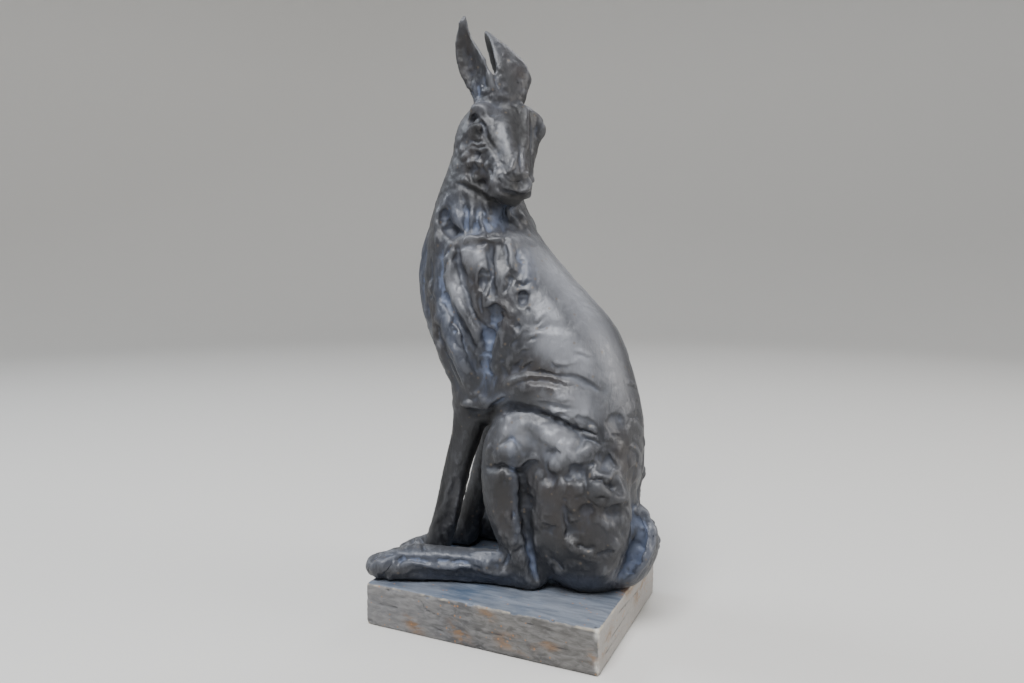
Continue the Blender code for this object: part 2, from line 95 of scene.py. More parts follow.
# %% [markdown]
# ## A skin that is fine enough to model
# The solid is a net of large faces, like the armature and first rough clay of a figure. Marks of a thumb
# or a knife are 2 to 10 mm wide, so the skin needs a point at about every millimetre. It could be
# subdivided, which keeps the long thin faces, or sculpted by hand, which can't be repeated. Here the
# faces are welded and rounded with a Subdivision Surface, and a voxel Remesh then lays an even net over
# them, as if the figure were dipped in fresh slip.

# %% Helpers for working on a mesh with arrays
def points_of(mesh):
    """All points of a mesh as rows of x, y, z."""
    flat = np.empty(len(mesh.vertices) * 3)
    mesh.vertices.foreach_get("co", flat)
    return flat.reshape(-1, 3)


def put_points(mesh, points):
    """Move the points of a mesh to new places."""
    mesh.vertices.foreach_set("co", points.ravel())
    mesh.update()


def normals_of(mesh):
    """The outward direction at each point of a mesh."""
    flat = np.empty(len(mesh.vertices) * 3)
    mesh.vertex_normals.foreach_get("vector", flat)
    return flat.reshape(-1, 3)


def neighbours_of(mesh):
    """The two ends of every edge, and how many edges meet at each point."""
    flat = np.empty(len(mesh.edges) * 2, dtype=np.int64)
    mesh.edges.foreach_get("vertices", flat)
    ends = flat.reshape(-1, 2)
    return ends, np.bincount(flat, minlength=len(mesh.vertices)).astype(float)


def smoothed(values, ends, meetings, rounds, share=1.0):
    """Each row drawn towards the mean of its neighbours, some rounds over."""
    values = values.copy()
    for _ in range(rounds):
        for column in values.T:
            total = np.bincount(ends[:, 0], column[ends[:, 1]], len(column))
            total += np.bincount(ends[:, 1], column[ends[:, 0]], len(column))
            column += share * (total / meetings - column)
    return values


def keep_modifiers(piece):
    """Turn what the modifiers show into the piece's own mesh."""
    seen = piece.evaluated_get(bpy.context.evaluated_depsgraph_get())
    made = bpy.data.meshes.new_from_object(seen)
    piece.modifiers.clear()
    piece.data = made
    return made


print("helpers ready")

# %% The fine skin of the hare
SKIN_GRAIN = 0.0011
WELD_DISTANCE = 0.000001
FIRST_SMOOTHING = (3, 0.5)


def dipped(node, name, grain, rounds):
    """A copy of one solid: welded, rounded some rounds over, and covered with an even net."""
    piece = bpy.data.objects.new(name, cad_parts[node].data.copy())
    bpy.context.collection.objects.link(piece)
    piece.modifiers.new("weld the faces", "WELD").merge_threshold = WELD_DISTANCE
    if rounds:
        piece.modifiers.new("round the clay", "SUBSURF").levels = rounds
    slip = piece.modifiers.new("even skin", "REMESH")
    slip.mode = "VOXEL"
    slip.voxel_size = grain
    return piece, keep_modifiers(piece)


def surface_of(mesh):
    """The mesh as a surface on which lines of sight land and nearest places are found."""
    faces = [tuple(face.vertices) for face in mesh.polygons]
    return BVHTree.FromPolygons([Vector(point) for point in points_of(mesh)], faces)


hare, skin = dipped("hare", "hare_casting", SKIN_GRAIN, 2)
skin_ends, skin_meetings = neighbours_of(skin)
put_points(skin, smoothed(points_of(skin), skin_ends, skin_meetings, *FIRST_SMOOTHING))
rest_points = points_of(skin)
rest_normals = normals_of(skin)
rest_surface = surface_of(skin)
print("the hare's skin has", len(rest_points), "points")

# %% [markdown]
# ## Marks of thumb and knife
# On the real figure every lock of fur is a stroke: a roll of clay laid on with the thumb, a hollow pressed
# in, or a cut of the knife. Displacement by noise alone gives a surface that belongs to no animal, so each
# mark here is a stroke that was read off the picture, as a row of points across and down. The stroke is
# thrown on the skin along the lines of sight, and the clay within its reach rises or sinks along the
# skin's own direction. A thumb leaves a round swell and a knife a sharp valley. A scoop is a thumb print
# with a steep upper lip, a ledge is a fold whose upper side overhangs, and a press moves the back of an
# edge as well as its front. Widths and heights are in millimetres. A height below zero goes inwards.

# %% Tools that throw a stroke on the skin
MILLIMETRE = 0.001
STROKE_STEP = 1.5  # pixels from one point of a stroke to the next
LONGEST_JUMP = 0.008  # metres between two landing places, before the stroke breaks


def finer_stroke(stroke):
    """Points at about every pixel and a half, on a smooth curve through the points that were read."""
    if len(stroke) < 2:
        return list(stroke)
    ends = [stroke[0], *stroke, stroke[-1]]
    fine = []
    for before, start, end, after in zip(ends, ends[1:], ends[2:], ends[3:]):
        steps = max(1, round(math.dist(start, end) / STROKE_STEP))
        for step in range(steps):
            t = step / steps
            fine.append(tuple(
                0.5 * (2 * b + (c - a) * t + (2 * a - 5 * b + 4 * c - d) * t * t
                       + (3 * b - a - 3 * c + d) * t * t * t)
                for a, b, c, d in zip(before, start, end, after)
            ))
    fine.append(stroke[-1])
    return fine


def thrown(surface, stroke):
    """The places where a stroke lands, in unbroken runs, each with the way it was seen."""
    runs = []
    run = []
    for across, down in finer_stroke(stroke):
        way = line_of_sight(across, down)
        place = surface.ray_cast(CAMERA_PLACE, way)[0]
        broken = place is None or (run and (place - run[-1][0]).length > LONGEST_JUMP)
        if broken and run:
            runs.append(run)
            run = []
        if place is not None:
            run.append((place, way))
    if run:
        runs.append(run)
    return runs


print("a stroke of two points 30 pixels apart has", len(finer_stroke([(0, 0), (30, 0)])), "steps")

# %% The clay that one stroke moves
# each tool's shape, from the reach (0 under the stroke, 1 at its edge) and how far up the point lies
PROFILES = {
    "thumb": lambda reach, up: (1 - reach ** 2) ** 2,
    "press": lambda reach, up: (1 - reach ** 2) ** 2,
    "knife": lambda reach, up: (1 - reach) ** 1.5,
    "scoop": lambda reach, up: 1 - reach ** (1.4 + 5 * np.clip(up, 0, 1)),
    "ledge": lambda reach, up: np.clip(reach * up / 0.14, -1, 1) * (1 - reach ** 2) ** 1.5,
}
FACES_THE_TOOL = 0.15  # how far a skin may turn away from the tool and still be touched
LIFTED_END = 0.06  # the tool touches down a little before the stroke's first point
FADING_SHARE = 0.28  # the share of a stroke over which the hand eases off at each end


def pressed(points, normals, run, tool, width):
    """Which points a run of a stroke reaches, and how strongly, from 0 to 1."""
    line = np.array([place[:] for place, way in run])
    way = np.array(run[len(run) // 2][1][:])
    low = line.min(axis=0) - width
    high = line.max(axis=0) + width
    near = np.flatnonzero(np.all((points > low) & (points < high), axis=1))
    if tool != "press":
        near = near[normals[near] @ way < FACES_THE_TOOL]
    if len(line) == 1:
        away = points[near] - line[0]
        along = np.full(len(near), 0.5)
    else:
        step = line[1:] - line[:-1]
        step_square = np.maximum((step ** 2).sum(axis=1), 1e-12)
        offset = points[near][:, None, :] - line[None, :-1, :]
        part = np.clip((offset * step).sum(axis=2) / step_square, 0, 1)
        gaps = offset - part[:, :, None] * step
        nearest = (gaps ** 2).sum(axis=2).argmin(axis=1)
        rows = np.arange(len(near))
        away = gaps[rows, nearest]
        along = (nearest + part[rows, nearest]) / len(step)
    distance = np.linalg.norm(away, axis=1)
    up = away[:, 2] / np.maximum(distance, 1e-9)
    from_end = np.minimum(along, 1 - along) + LIFTED_END
    end_fade = np.sqrt(np.clip(from_end / FADING_SHARE, 0, 1))
    return near, PROFILES[tool](np.clip(distance / width, 0, 1), up) * end_fade


print("tools:", ", ".join(PROFILES))

# %% Strokes on the side that the picture hides
BODY_MIRROR = (Vector((0, 0.006, 0)), Vector((0, 1, 0)))
HEAD_MIRROR = (Vector((-0.012, -0.002, 0.4063)), Vector((0.7660, 0.6428, 0)))
MIRROR_REACH = 0.014  # metres that a mirrored place may lie off the skin
SEEN_WITHIN = 0.002  # metres within which a line of sight counts as landing on a place


def mirrored_run(surface, run, plane_point, plane_normal):
    """The same run on the side that the camera doesn't see, or nothing where it does see it."""
    other = []
    for place, way in run:
        image = place - 2 * (place - plane_point).dot(plane_normal) * plane_normal
        landed, normal, _, gap = surface.find_nearest(image)
        if gap > MIRROR_REACH:
            continue
        sight = landed - CAMERA_PLACE
        first = surface.ray_cast(CAMERA_PLACE, sight.normalized())[0]
        if normal.dot(sight) < 0 and first is not None and (first - landed).length < SEEN_WITHIN:
            continue
        other.append((landed, way - 2 * way.dot(plane_normal) * plane_normal))
    return other


def laid(strokes, surface, mirror):
    """Every unbroken run of some strokes, each followed by its mirrored run where there is one."""
    for stroke in strokes:
        for run in thrown(surface, stroke):
            yield run
            other = mirrored_run(surface, run, *mirror) if mirror else []
            if other:
                yield other


def clay_moved(marks, tools, surface, mirror, points, normals):
    """How far each point goes outwards under all marks of some tools, in metres."""
    moved = np.zeros(len(points))
    for name, tool, width, height, strokes in marks:
        if tool in tools:
            for run in laid(strokes, surface, mirror):
                near, strength = pressed(points, normals, run, tool, width * MILLIMETRE)
                moved[near] += height * MILLIMETRE * strength
    return moved


print("the figure's middle is at y =", BODY_MIRROR[0].y)

# %% [markdown]
# ## The locks of fur as they were read
# The marks are grouped as the modeller worked: ears, face, breast, flank, thigh, tail and feet. The breast
# hangs in long thick locks, the back is stroked smooth with a flat spatula, and the thigh is built from
# pinched lumps. The face has heavy lids, wrinkles below the eye, and knobs of clay for the cheek fur.

# %% Marks on the ears
EAR_MARKS = [
    ("hollow of the near ear", "thumb", 9, -1.6, [[(469, 87.5), (467, 67.5), (465.5, 46), (466, 27.5)]]),
    ("rim of the near ear", "thumb", 3, 1.0, [[(464, 83.5), (454, 66), (454, 49), (457, 29), (465, 18.5)]]),
    ("folds at the ears' roots", "knife", 2.5, -1.6, [
        [(484, 67.5), (484, 76.5), (486, 86.5)], [(494, 72), (497.5, 89)], [(478, 86), (479, 96.5)],
    ]),
    ("cords at the ears' roots", "thumb", 3.5, 1.2, [
        [(489, 66), (490.5, 79.5), (496.5, 92)], [(476, 76.5), (474.5, 92)], [(482, 92), (491.5, 89.5)],
    ]),
    ("pocket under the near ear", "scoop", 3.5, -2.5, [[(465, 86), (468.5, 90.5), (471.5, 95.5)]]),
    ("lobe round the pocket", "thumb", 3, 1.2, [[(463, 85), (465.5, 92), (470, 98)]]),
    ("bumps on both ears", "thumb", 4, 0.8, [
        [(501, 46)], [(499.5, 69.5)], [(506.5, 88)], [(520.5, 80.5)], [(512.5, 61.5)], [(522, 92)],
        [(462, 23)], [(459, 41.5)], [(468.5, 50.5)], [(461.5, 61.5)], [(470.5, 69)],
    ]),
]
print("marks on the ears:", len(EAR_MARKS))

# %% Marks on the face
FACE_MARKS = [
    ("chin pressed up", "press", 13, -6.0, [[(502, 213.5), (509.5, 213)]]),
    ("temples", "thumb", 7, -0.9, [[(467, 130), (466, 144)]]),
    ("hole under the brow", "scoop", 3.2, -3.4, [[(469.5, 124.5), (471.5, 120), (475, 117.5)]]),
    ("ridge from brow to nose", "thumb", 3, 1.1, [
        [(470, 117.5), (473.5, 114), (479, 115.5), (483.5, 121), (489, 130), (493.5, 139.5), (497, 147)],
    ]),
    ("hollow inside that ridge", "thumb", 3, -0.8, [[(483, 131.5), (488, 139.5), (493, 148)]]),
    ("eyeball", "thumb", 4.4, 3.0, [[(478.5, 126.5)]]),
    ("ring round the eye", "knife", 2.4, -2.2, [
        [(475.5, 121.5), (479.5, 121.5), (483, 125), (483.5, 129.5)],
        [(474.5, 127), (476, 132), (480, 133)],
    ]),
    ("eyelids", "knife", 2, -1.2, [
        [(474.5, 133), (479.5, 134.5), (484, 132)], [(475.5, 122.5), (479.5, 122), (483.5, 124.5)],
    ]),
    ("wrinkles under the eye", "ledge", 3.2, 0.8, [
        [(473.5, 139), (479, 140.5), (484, 138.5)], [(473.5, 144.5), (480, 146), (485, 144)],
        [(474.5, 151), (480.5, 151.5), (485.5, 149)],
    ]),
    ("rolls between the wrinkles", "thumb", 2.4, 0.5, [
        [(473.5, 136.5), (479, 138), (484, 136)], [(473.5, 142), (479.5, 143.5), (485, 141)],
        [(474, 148), (480, 149), (485.5, 146.5)],
    ]),
    ("cheek curls", "thumb", 4.5, 1.9, [
        [(465, 156)], [(479.5, 162.5)], [(476, 178.5)], [(467, 179)], [(470, 163)], [(461.5, 149.5)],
        [(486.5, 166)],
    ]),
    ("gaps between the curls", "scoop", 4, -2.4, [
        [(470, 171.5)], [(476, 154.5)], [(483, 183)], [(474, 167)],
    ]),
    ("cut under the jaw", "ledge", 6, 2.2, [[(461.5, 181.5), (474.5, 188), (486.5, 193.5), (496, 199)]]),
    ("whisker pad", "thumb", 5.5, 1.4, [
        [(496, 173)], [(492, 182)], [(503.5, 178.5)], [(509.5, 190)], [(499.5, 191.5)],
    ]),
    ("creases of the whisker pad", "knife", 2.4, -1.2, [
        [(488, 167), (491.5, 174.5), (490.5, 184)], [(497.5, 179), (503.5, 184), (509.5, 187.5)],
        [(499, 165.5), (503.5, 170), (506.5, 176)],
    ]),
    ("nostrils", "scoop", 5, -3.4, [[(511, 177.5), (518, 180), (524, 178.5)], [(517.5, 183), (522, 184)]]),
    ("edge of the nose", "thumb", 3, 1.2, [[(507.5, 174), (516, 175), (528, 174.5)]]),
    ("upper lip", "thumb", 3.6, 1.8, [
        [(502, 184), (509.5, 188.5), (518, 190.5), (525, 190), (531, 184.5), (531.5, 176)],
    ]),
    ("mouth", "knife", 3, -3.2, [[(497.5, 187), (506.5, 193.5), (516, 195), (525, 195.5), (531, 193.5)]]),
    ("bridge of the nose", "thumb", 6, 0.8, [[(499.5, 118), (502, 138), (505, 159.5)]]),
    ("thin rolls beside the bridge", "thumb", 2.6, 1.3, [
        [(522, 147), (522.5, 159.5), (522.5, 173)], [(518, 153), (513.5, 162.5), (509.5, 172.5)],
    ]),
    ("cuts beside the bridge", "knife", 2.4, -1.2, [
        [(520, 138), (520.5, 153), (519.5, 170)], [(497.5, 151.5), (499.5, 161), (506.5, 167)],
    ]),
    ("far edge of the face", "thumb", 3.5, 1.1, [[(526.5, 107), (528, 125.5), (528, 147), (528, 173)]]),
    ("far brow", "thumb", 3.5, 1.5, [[(530.5, 110.5), (537, 115.5), (543.5, 121)]]),
    ("far eye", "thumb", 4, 1.3, [[(542.5, 128)]]),
    ("fold under the far eye", "knife", 2.6, -1.6, [
        [(537, 124), (535.5, 133), (539, 141.5)], [(531, 142.5), (532, 154.5)],
    ]),
    ("creases on the forehead", "knife", 2.4, -1.1, [
        [(486.5, 113.5), (496, 116.5), (502, 113.5)], [(509.5, 104), (516, 107), (520.5, 116.5)],
        [(491.5, 104), (499, 107)],
    ]),
    ("roll over the forehead", "thumb", 4, 1.0, [[(483, 98), (494.5, 96.5), (509.5, 98)]]),
]
print("marks on the face:", len(FACE_MARKS))

# %% Marks on neck and breast
BREAST_MARKS = [
    ("hole at the neck", "scoop", 5, -3.6, [
        [(446.5, 212), (441.5, 216.5)], [(444.5, 225), (450, 232.5), (457.5, 238.5)],
    ]),
    ("cords of the neck", "thumb", 4.5, 1.5, [
        [(437, 209), (437, 219.5), (435.5, 225)], [(446.5, 197.5), (443.5, 207.5)],
        [(453.5, 210.5), (459, 222.5), (463.5, 232)], [(471.5, 212), (473, 222.5), (471.5, 230.5)],
        [(479.5, 215.5), (481.5, 223.5), (485.5, 232)], [(509, 212), (516, 221), (520.5, 226.5)],
        [(522, 215), (528, 223.5)],
    ]),
    ("cuts in the throat", "knife", 3.4, -2.2, [
        [(466.5, 207.5), (467, 219.5), (465.5, 232.5)], [(476, 210.5), (477.5, 221), (474.5, 231)],
        [(481.5, 207.5), (485.5, 219.5), (488, 232.5)], [(449.5, 221), (454.5, 229.5), (462.5, 234)],
        [(498, 209), (502, 222.5), (503.5, 234)],
    ]),
    ("hollows of the throat", "scoop", 9, -2.0, [[(443, 225), (448.5, 235.5)], [(494, 212), (492.5, 225)]]),
    ("edge of the ruff", "ledge", 6, -1.5, [
        [(462.5, 245.5), (465, 238.5), (471.5, 234.5), (478, 237)],
        [(481.5, 234), (488.5, 238.5), (491, 235.5)], [(494, 239), (501.5, 236.5), (506, 243)],
        [(461, 250.5), (468, 248), (475, 251)], [(479.5, 246.5), (487, 245)],
    ]),
    ("long lock", "thumb", 6.5, 1.9, [
        [(450, 253), (448, 266), (448.5, 281), (454.5, 295.5), (463.5, 311.5), (472, 328), (478, 342.5)],
    ]),
    ("edges of the long lock", "knife", 3, -2.6, [
        [(451, 247), (444.5, 256), (442, 272), (443, 289.5), (449.5, 299)],
        [(457.5, 248.5), (459, 266), (463.5, 285.5), (470, 303), (473.5, 313)],
    ]),
    ("slits in the long lock", "knife", 2.2, -1.1, [
        [(449.5, 259), (444.5, 274.5)], [(455.5, 253), (454, 262)],
    ]),
    ("rolls on the long lock", "thumb", 2.4, 0.9, [
        [(446.5, 251.5), (443, 269), (444, 277), (453.5, 263.5)],
    ]),
    ("groove before the long lock", "thumb", 6, -2.4, [
        [(439.5, 248.5), (439, 266), (439, 285.5), (441.5, 298.5)],
    ]),
    ("hole below the long lock", "scoop", 4.5, -3.6, [[(443.5, 299), (448, 301.5)]]),
    ("lumps of the broad lock", "thumb", 7, 1.6, [
        [(466.5, 253), (466.5, 266)], [(476.5, 253), (481, 260.5)], [(473.5, 292.5), (476.5, 311.5)],
    ]),
    ("edge of the broad lock", "knife", 3.2, -2.6, [
        [(487, 253), (492, 263.5), (492.5, 273.5), (490.5, 285.5), (488.5, 295.5)],
        [(479.5, 295.5), (481.5, 316)],
    ]),
    ("thumb print", "scoop", 5, -3.4, [[(483, 276), (483.5, 284), (481, 291)]]),
    ("nail mark over the print", "ledge", 4, 1.3, [[(479, 270.5), (483, 267.5), (487.5, 271.5)]]),
    ("shade on the broad lock", "thumb", 6, -1.6, [[(470, 272), (471.5, 284)]]),
    ("shoulder locks", "thumb", 6, 1.7, [
        [(497, 241.5), (496.5, 260.5), (499.5, 276.5), (499.5, 292.5)],
        [(511, 245.5), (512.5, 260.5), (509, 281)], [(523.5, 253), (528.5, 267.5), (527, 284)],
    ]),
    ("cuts between the shoulder locks", "knife", 2.6, -1.8, [
        [(505, 243), (506.5, 259), (509, 269), (511, 276.5)],
        [(517.5, 248.5), (517.5, 259), (523.5, 263.5)], [(502, 292), (509, 286), (511, 278)],
        [(517.5, 284), (525, 286), (529.5, 282.5)],
    ]),
    ("dimples of the shoulder", "scoop", 4.2, -2.4, [
        [(523, 297), (523, 303.5)], [(512, 276.5), (509, 281)], [(516, 325.5), (518, 328)],
    ]),
    ("nail mark over the dimple", "ledge", 3.5, 1.1, [[(518, 293), (523, 291), (526.5, 295)]]),
    ("hollow above the elbow", "scoop", 8, -3.0, [
        [(495, 313.5), (497, 322)], [(492.5, 331), (491, 342.5)],
    ]),
    ("lip of that hollow", "ledge", 6, 2.0, [[(490, 307.5), (495.5, 303), (503.5, 307.5), (509, 316.5)]]),
    ("trough below the hollow", "thumb", 6, -1.9, [[(489, 351.5), (487, 366), (491, 380.5)]]),
    ("nicks in the trough", "knife", 2.6, -2.2, [
        [(485, 353.5), (491.5, 355.5)], [(486, 371), (491.5, 375)], [(500, 360.5), (503.5, 360)],
    ]),
    ("rolls beside the trough", "thumb", 4, 1.4, [
        [(497, 363), (499.5, 375), (498, 385)], [(509, 358.5), (509, 370.5)], [(488.5, 322), (491, 328)],
        [(501.5, 331), (503, 345.5)],
    ]),
    ("small locks", "thumb", 5, 1.9, [
        [(444.5, 306), (449.5, 317.5), (451, 329.5)], [(457, 326.5), (459.5, 336.5)],
        [(450, 342.5), (457.5, 355.5)], [(437, 317.5), (435, 326.5), (437.5, 333.5)],
        [(463.5, 358.5), (469.5, 373.5)], [(426.5, 307.5), (428, 319)], [(424, 272), (422.5, 284)],
        [(431, 284), (433.5, 292.5)], [(434, 339.5), (441.5, 351.5)], [(476.5, 351.5), (479.5, 363)],
    ]),
    ("cuts between the small locks", "knife", 3.2, -2.3, [
        [(454, 307.5), (459, 322), (465.5, 344), (470, 358.5)], [(452.5, 325), (454, 333.5)],
        [(445, 351.5), (453, 366), (462, 385)], [(439, 326.5), (439, 334.5)], [(431, 260.5), (431, 278)],
        [(424, 322), (431, 336.5)], [(473, 358.5), (476.5, 373.5)],
    ]),
    ("fringe over the foreleg", "thumb", 4, 1.6, [
        [(463.5, 405), (472, 404)], [(478, 399.5), (488.5, 401)], [(469.5, 394), (479.5, 395.5)],
    ]),
    ("cut under the fringe", "ledge", 5, 2.2, [
        [(473.5, 408.5), (488.5, 408.5), (494, 402.5), (502, 396.5)],
    ]),
    ("spatula strokes", "ledge", 3.6, 0.9, [
        [(509.5, 348.5), (517.5, 338), (524, 330)], [(516, 355), (523, 350.5), (531, 348.5)],
        [(529.5, 339), (535, 335)], [(521.5, 372.5), (525.5, 365), (532.5, 361)],
        [(512.5, 328), (516, 335)], [(552, 350), (553, 361.5), (559.5, 364.5)],
        [(536.5, 322), (542.5, 316)],
    ]),
    ("slits behind the shoulder", "knife", 2.4, -1.6, [
        [(539, 328.5), (545.5, 327), (549, 325.5)], [(528, 339.5), (534, 338)], [(512, 344), (516, 339.5)],
        [(517.5, 366), (522, 360)], [(527, 311.5), (528, 307.5)],
    ]),
]
print("marks on neck and breast:", len(BREAST_MARKS))

# %% Marks on the flank
FLANK_MARKS = [
    ("undersides of the flank folds", "ledge", 8, 1.5, [
        [(505, 386.5), (520, 381), (531.5, 378.5), (544.5, 378), (558, 381), (569.5, 384)],
        [(535.5, 401.5), (546.5, 401.5), (558, 403), (569.5, 406.5)],
        [(534.5, 370), (544.5, 369.5), (556, 373.5), (568, 374.5)],
        [(576, 375.5), (587.5, 380.5), (601, 389)],
    ]),
    ("rolls over the folds", "thumb", 7, 0.8, [
        [(510, 381.5), (524.5, 375), (539.5, 373.5), (554.5, 376.5)],
        [(539.5, 398.5), (553, 398.5), (564.5, 401)], [(523, 370), (529.5, 367.5)],
        [(508, 393), (520, 388), (531.5, 386.5)], [(559.5, 396.5), (573, 399.5)],
    ]),
    ("flats of the spatula", "ledge", 4, 0.8, [
        [(552.5, 353), (552, 362.5), (563, 365), (574.5, 364)],
        [(559.5, 389.5), (558, 398), (569.5, 399.5)], [(528, 384.5), (529.5, 396.5)],
        [(548, 404.5), (553, 413), (569.5, 411.5)], [(576, 353), (589.5, 356.5)],
        [(629, 384.5), (636, 386.5)], [(636, 399.5), (637.5, 414.5)],
    ]),
    ("crease over the thigh", "knife", 2.6, -4.2, [
        [(504, 413.5), (511.5, 410), (523, 410), (534.5, 412), (544.5, 413.5),
         (554.5, 418), (564.5, 423), (573, 428), (583, 431.5), (596, 435)],
    ]),
    ("roll under the crease", "thumb", 5, 1.4, [[(508, 416.5), (520, 414), (533, 415), (544.5, 418)]]),
    ("hole at the end of the crease", "scoop", 6, -3.4, [[(576, 423), (583, 423), (590, 429.5)]]),
    ("nick over the hole", "knife", 2.6, -2.0, [[(556, 415.5), (563, 415.5), (569.5, 418)]]),
    ("cracks", "knife", 2, -1.3, [
        [(599, 429.5), (599.5, 436), (598.5, 445.5)], [(601, 442.5), (611, 443)],
        [(627.5, 416.5), (641.5, 418)], [(612.5, 435), (619.5, 434.5)],
    ]),
]
print("marks on the flank:", len(FLANK_MARKS))

# %% Marks on thigh and shank
THIGH_MARKS = [
    ("pinched front of the thigh", "thumb", 3.5, 1.5, [
        [(507, 416), (507, 429.5), (509, 431)], [(508, 429.5), (504, 436)], [(495, 454.5), (497.5, 462.5)],
        [(490, 446), (487.5, 452.5)],
    ]),
    ("lumps", "thumb", 8, 1.8, [
        [(511.5, 451)], [(520, 429.5)], [(559.5, 429.5)], [(538, 471), (541.5, 479.5)],
        [(548, 436), (554.5, 444.5), (564.5, 447.5)], [(563, 456)], [(576, 461)], [(553, 467.5)],
        [(586, 449.5)], [(563, 484)], [(578, 489)], [(568, 502.5)], [(597.5, 489)], [(611, 494)],
        [(606, 523)], [(571, 544), (578, 547)], [(589.5, 555.5)], [(614.5, 545.5)], [(559.5, 570.5)],
        [(619.5, 501)], [(626, 496)], [(602.5, 572)], [(536.5, 542.5)], [(544.5, 489)], [(619.5, 449.5)],
    ]),
    ("shelf over the dent", "thumb", 4, 1.6, [[(601, 473), (612.5, 479.5)]]),
    ("dents", "scoop", 8, -2.6, [
        [(569.5, 476), (583, 472.5)], [(602.5, 462.5), (612.5, 471)], [(586, 515.5)],
        [(611, 515), (622.5, 511.5)], [(573, 522.5), (576, 535.5)], [(549.5, 525.5), (548, 535.5)],
        [(528, 494), (529.5, 509)], [(616, 423)],
    ]),
    ("knee arch", "ledge", 6, 2.0, [
        [(491.5, 467.5), (503, 463), (513.5, 468.5), (521.5, 467), (527, 462), (535.5, 460.5), (539, 467)],
    ]),
    ("sharp creases", "knife", 2.6, -2.8, [
        [(501.5, 444.5), (510, 439), (516.5, 443), (520, 449.5)],
        [(592, 481.5), (601, 480), (606, 485), (612.5, 487.5)],
        [(576, 544.5), (586, 548.5), (593.5, 547.5)],
        [(564.5, 512.5), (566.5, 524), (567, 533), (564.5, 540)],
        [(549.5, 452.5), (556, 450), (561, 454.5)], [(564, 497.5), (566.5, 501)],
        [(596, 497.5), (607.5, 499)], [(589.5, 466), (593.5, 462.5)], [(553, 559.5), (563, 569)],
        [(597.5, 554.5), (612.5, 550.5)], [(564.5, 477.5), (571, 480)],
    ]),
    ("cut between shank and thigh", "knife", 3.8, -4.2, [
        [(520, 470), (523, 486), (524, 509), (525.5, 527.5), (528, 541.5), (532, 559), (536.5, 579)],
    ]),
    ("facets of the shank", "thumb", 5, 1.3, [
        [(497.5, 471), (495, 484)], [(505.5, 474.5), (513, 484)], [(518, 476), (520, 490)],
        [(505.5, 514), (511.5, 524)], [(518, 527.5), (520, 534)], [(513, 541.5)],
        [(500, 552), (503, 565.5)],
    ]),
    ("cuts in the shank", "knife", 2.6, -1.5, [
        [(503, 471), (504, 484)], [(515, 512.5), (511.5, 522.5)],
        [(503, 535.5), (508, 550.5), (506.5, 562)], [(495, 496), (496.5, 512.5)],
    ]),
]
print("marks on thigh and shank:", len(THIGH_MARKS))

# %% Marks on the tail
TAIL_MARKS = [
    ("seam between rump and tail", "knife", 3.4, -3.0, [
        [(634, 514), (633.5, 529), (629, 545.5), (619.5, 567), (614.5, 579)],
    ]),
    ("rim of the tail", "thumb", 4, 1.5, [
        [(641.5, 506), (650.5, 520.5), (655.5, 532.5), (653.5, 547), (643.5, 564.5), (629, 580.5)],
    ]),
    ("hollow of the tail", "scoop", 8, -2.6, [[(637.5, 515.5), (644, 527.5), (642.5, 544), (632.5, 562)]]),
    ("rough strokes in the hollow", "knife", 2.6, -1.8, [
        [(636, 517.5), (642.5, 527.5)], [(646, 522.5), (651.5, 531.5)], [(636, 544), (646, 550.5)],
        [(629, 559), (642.5, 562)], [(624, 570.5), (636, 574)],
    ]),
]
print("marks on the tail:", len(TAIL_MARKS))

# %% Marks on feet and forelegs
FOOT_MARKS = [
    ("gaps between the toes", "knife", 4.5, -4.6, [
        [(392, 562), (386.5, 570.5), (380.5, 580)], [(376, 554), (369.5, 565.5), (367.5, 578)],
        [(387.5, 548.5), (380.5, 551.5)],
    ]),
    ("edges of the toes", "thumb", 3.6, 2.0, [
        [(395.5, 561), (388.5, 567), (383, 574.5)], [(385, 553), (394.5, 552), (402.5, 554)],
        [(372, 560), (367.5, 571)],
    ]),
    ("dimples of the toes", "scoop", 3.8, -2.2, [[(398, 562)], [(402, 560)]]),
    ("toe pads", "thumb", 5, 1.4, [[(370.5, 568)], [(380.5, 562.5)], [(390, 578)], [(377.5, 576.5)]]),
    ("tendon", "thumb", 3.5, 1.9, [
        [(403.5, 563.5), (415.5, 562.5), (425, 564.5), (439, 567), (453, 567), (466, 565.5), (478.5, 567)],
        [(481.5, 571), (495.5, 574), (506.5, 574)], [(473, 554), (485.5, 553), (495.5, 554)],
    ]),
    ("cuts over the tendon", "knife", 2.8, -2.2, [
        [(405.5, 560), (416.5, 560), (428, 562)], [(452, 562.5), (461.5, 561), (475.5, 567), (481.5, 571)],
        [(439, 560), (450.5, 560)],
    ]),
    ("undercut of the foot", "thumb", 5, -2.0, [
        [(411, 574.5), (425, 575), (446, 577.5), (467.5, 580), (488.5, 582.5), (509.5, 582.5)],
    ]),
    ("ankle", "thumb", 5, 1.3, [[(495.5, 560)], [(496.5, 553)], [(487, 565.5)], [(504, 571)]]),
    ("folds at the ankle", "knife", 2.8, -1.8, [
        [(504, 548.5), (507.5, 557), (504, 568)], [(513.5, 554), (523.5, 548.5)],
    ]),
    ("gaps in the forepaw", "knife", 3, -2.6, [
        [(406, 537.5), (403.5, 544.5)], [(414, 536), (411, 547)], [(421, 537.5), (424, 548.5)],
    ]),
    ("sinews of the foreleg", "thumb", 3.2, 1.0, [
        [(452, 475.5), (445, 498), (433.5, 526)], [(461.5, 484), (456, 506.5), (450.5, 529)],
    ]),
    ("grooves of the foreleg", "thumb", 4, -1.2, [
        [(456, 478.5), (450.5, 502.5), (442, 529)], [(446, 484), (439, 508)],
    ]),
]
print("marks on feet and forelegs:", len(FOOT_MARKS))

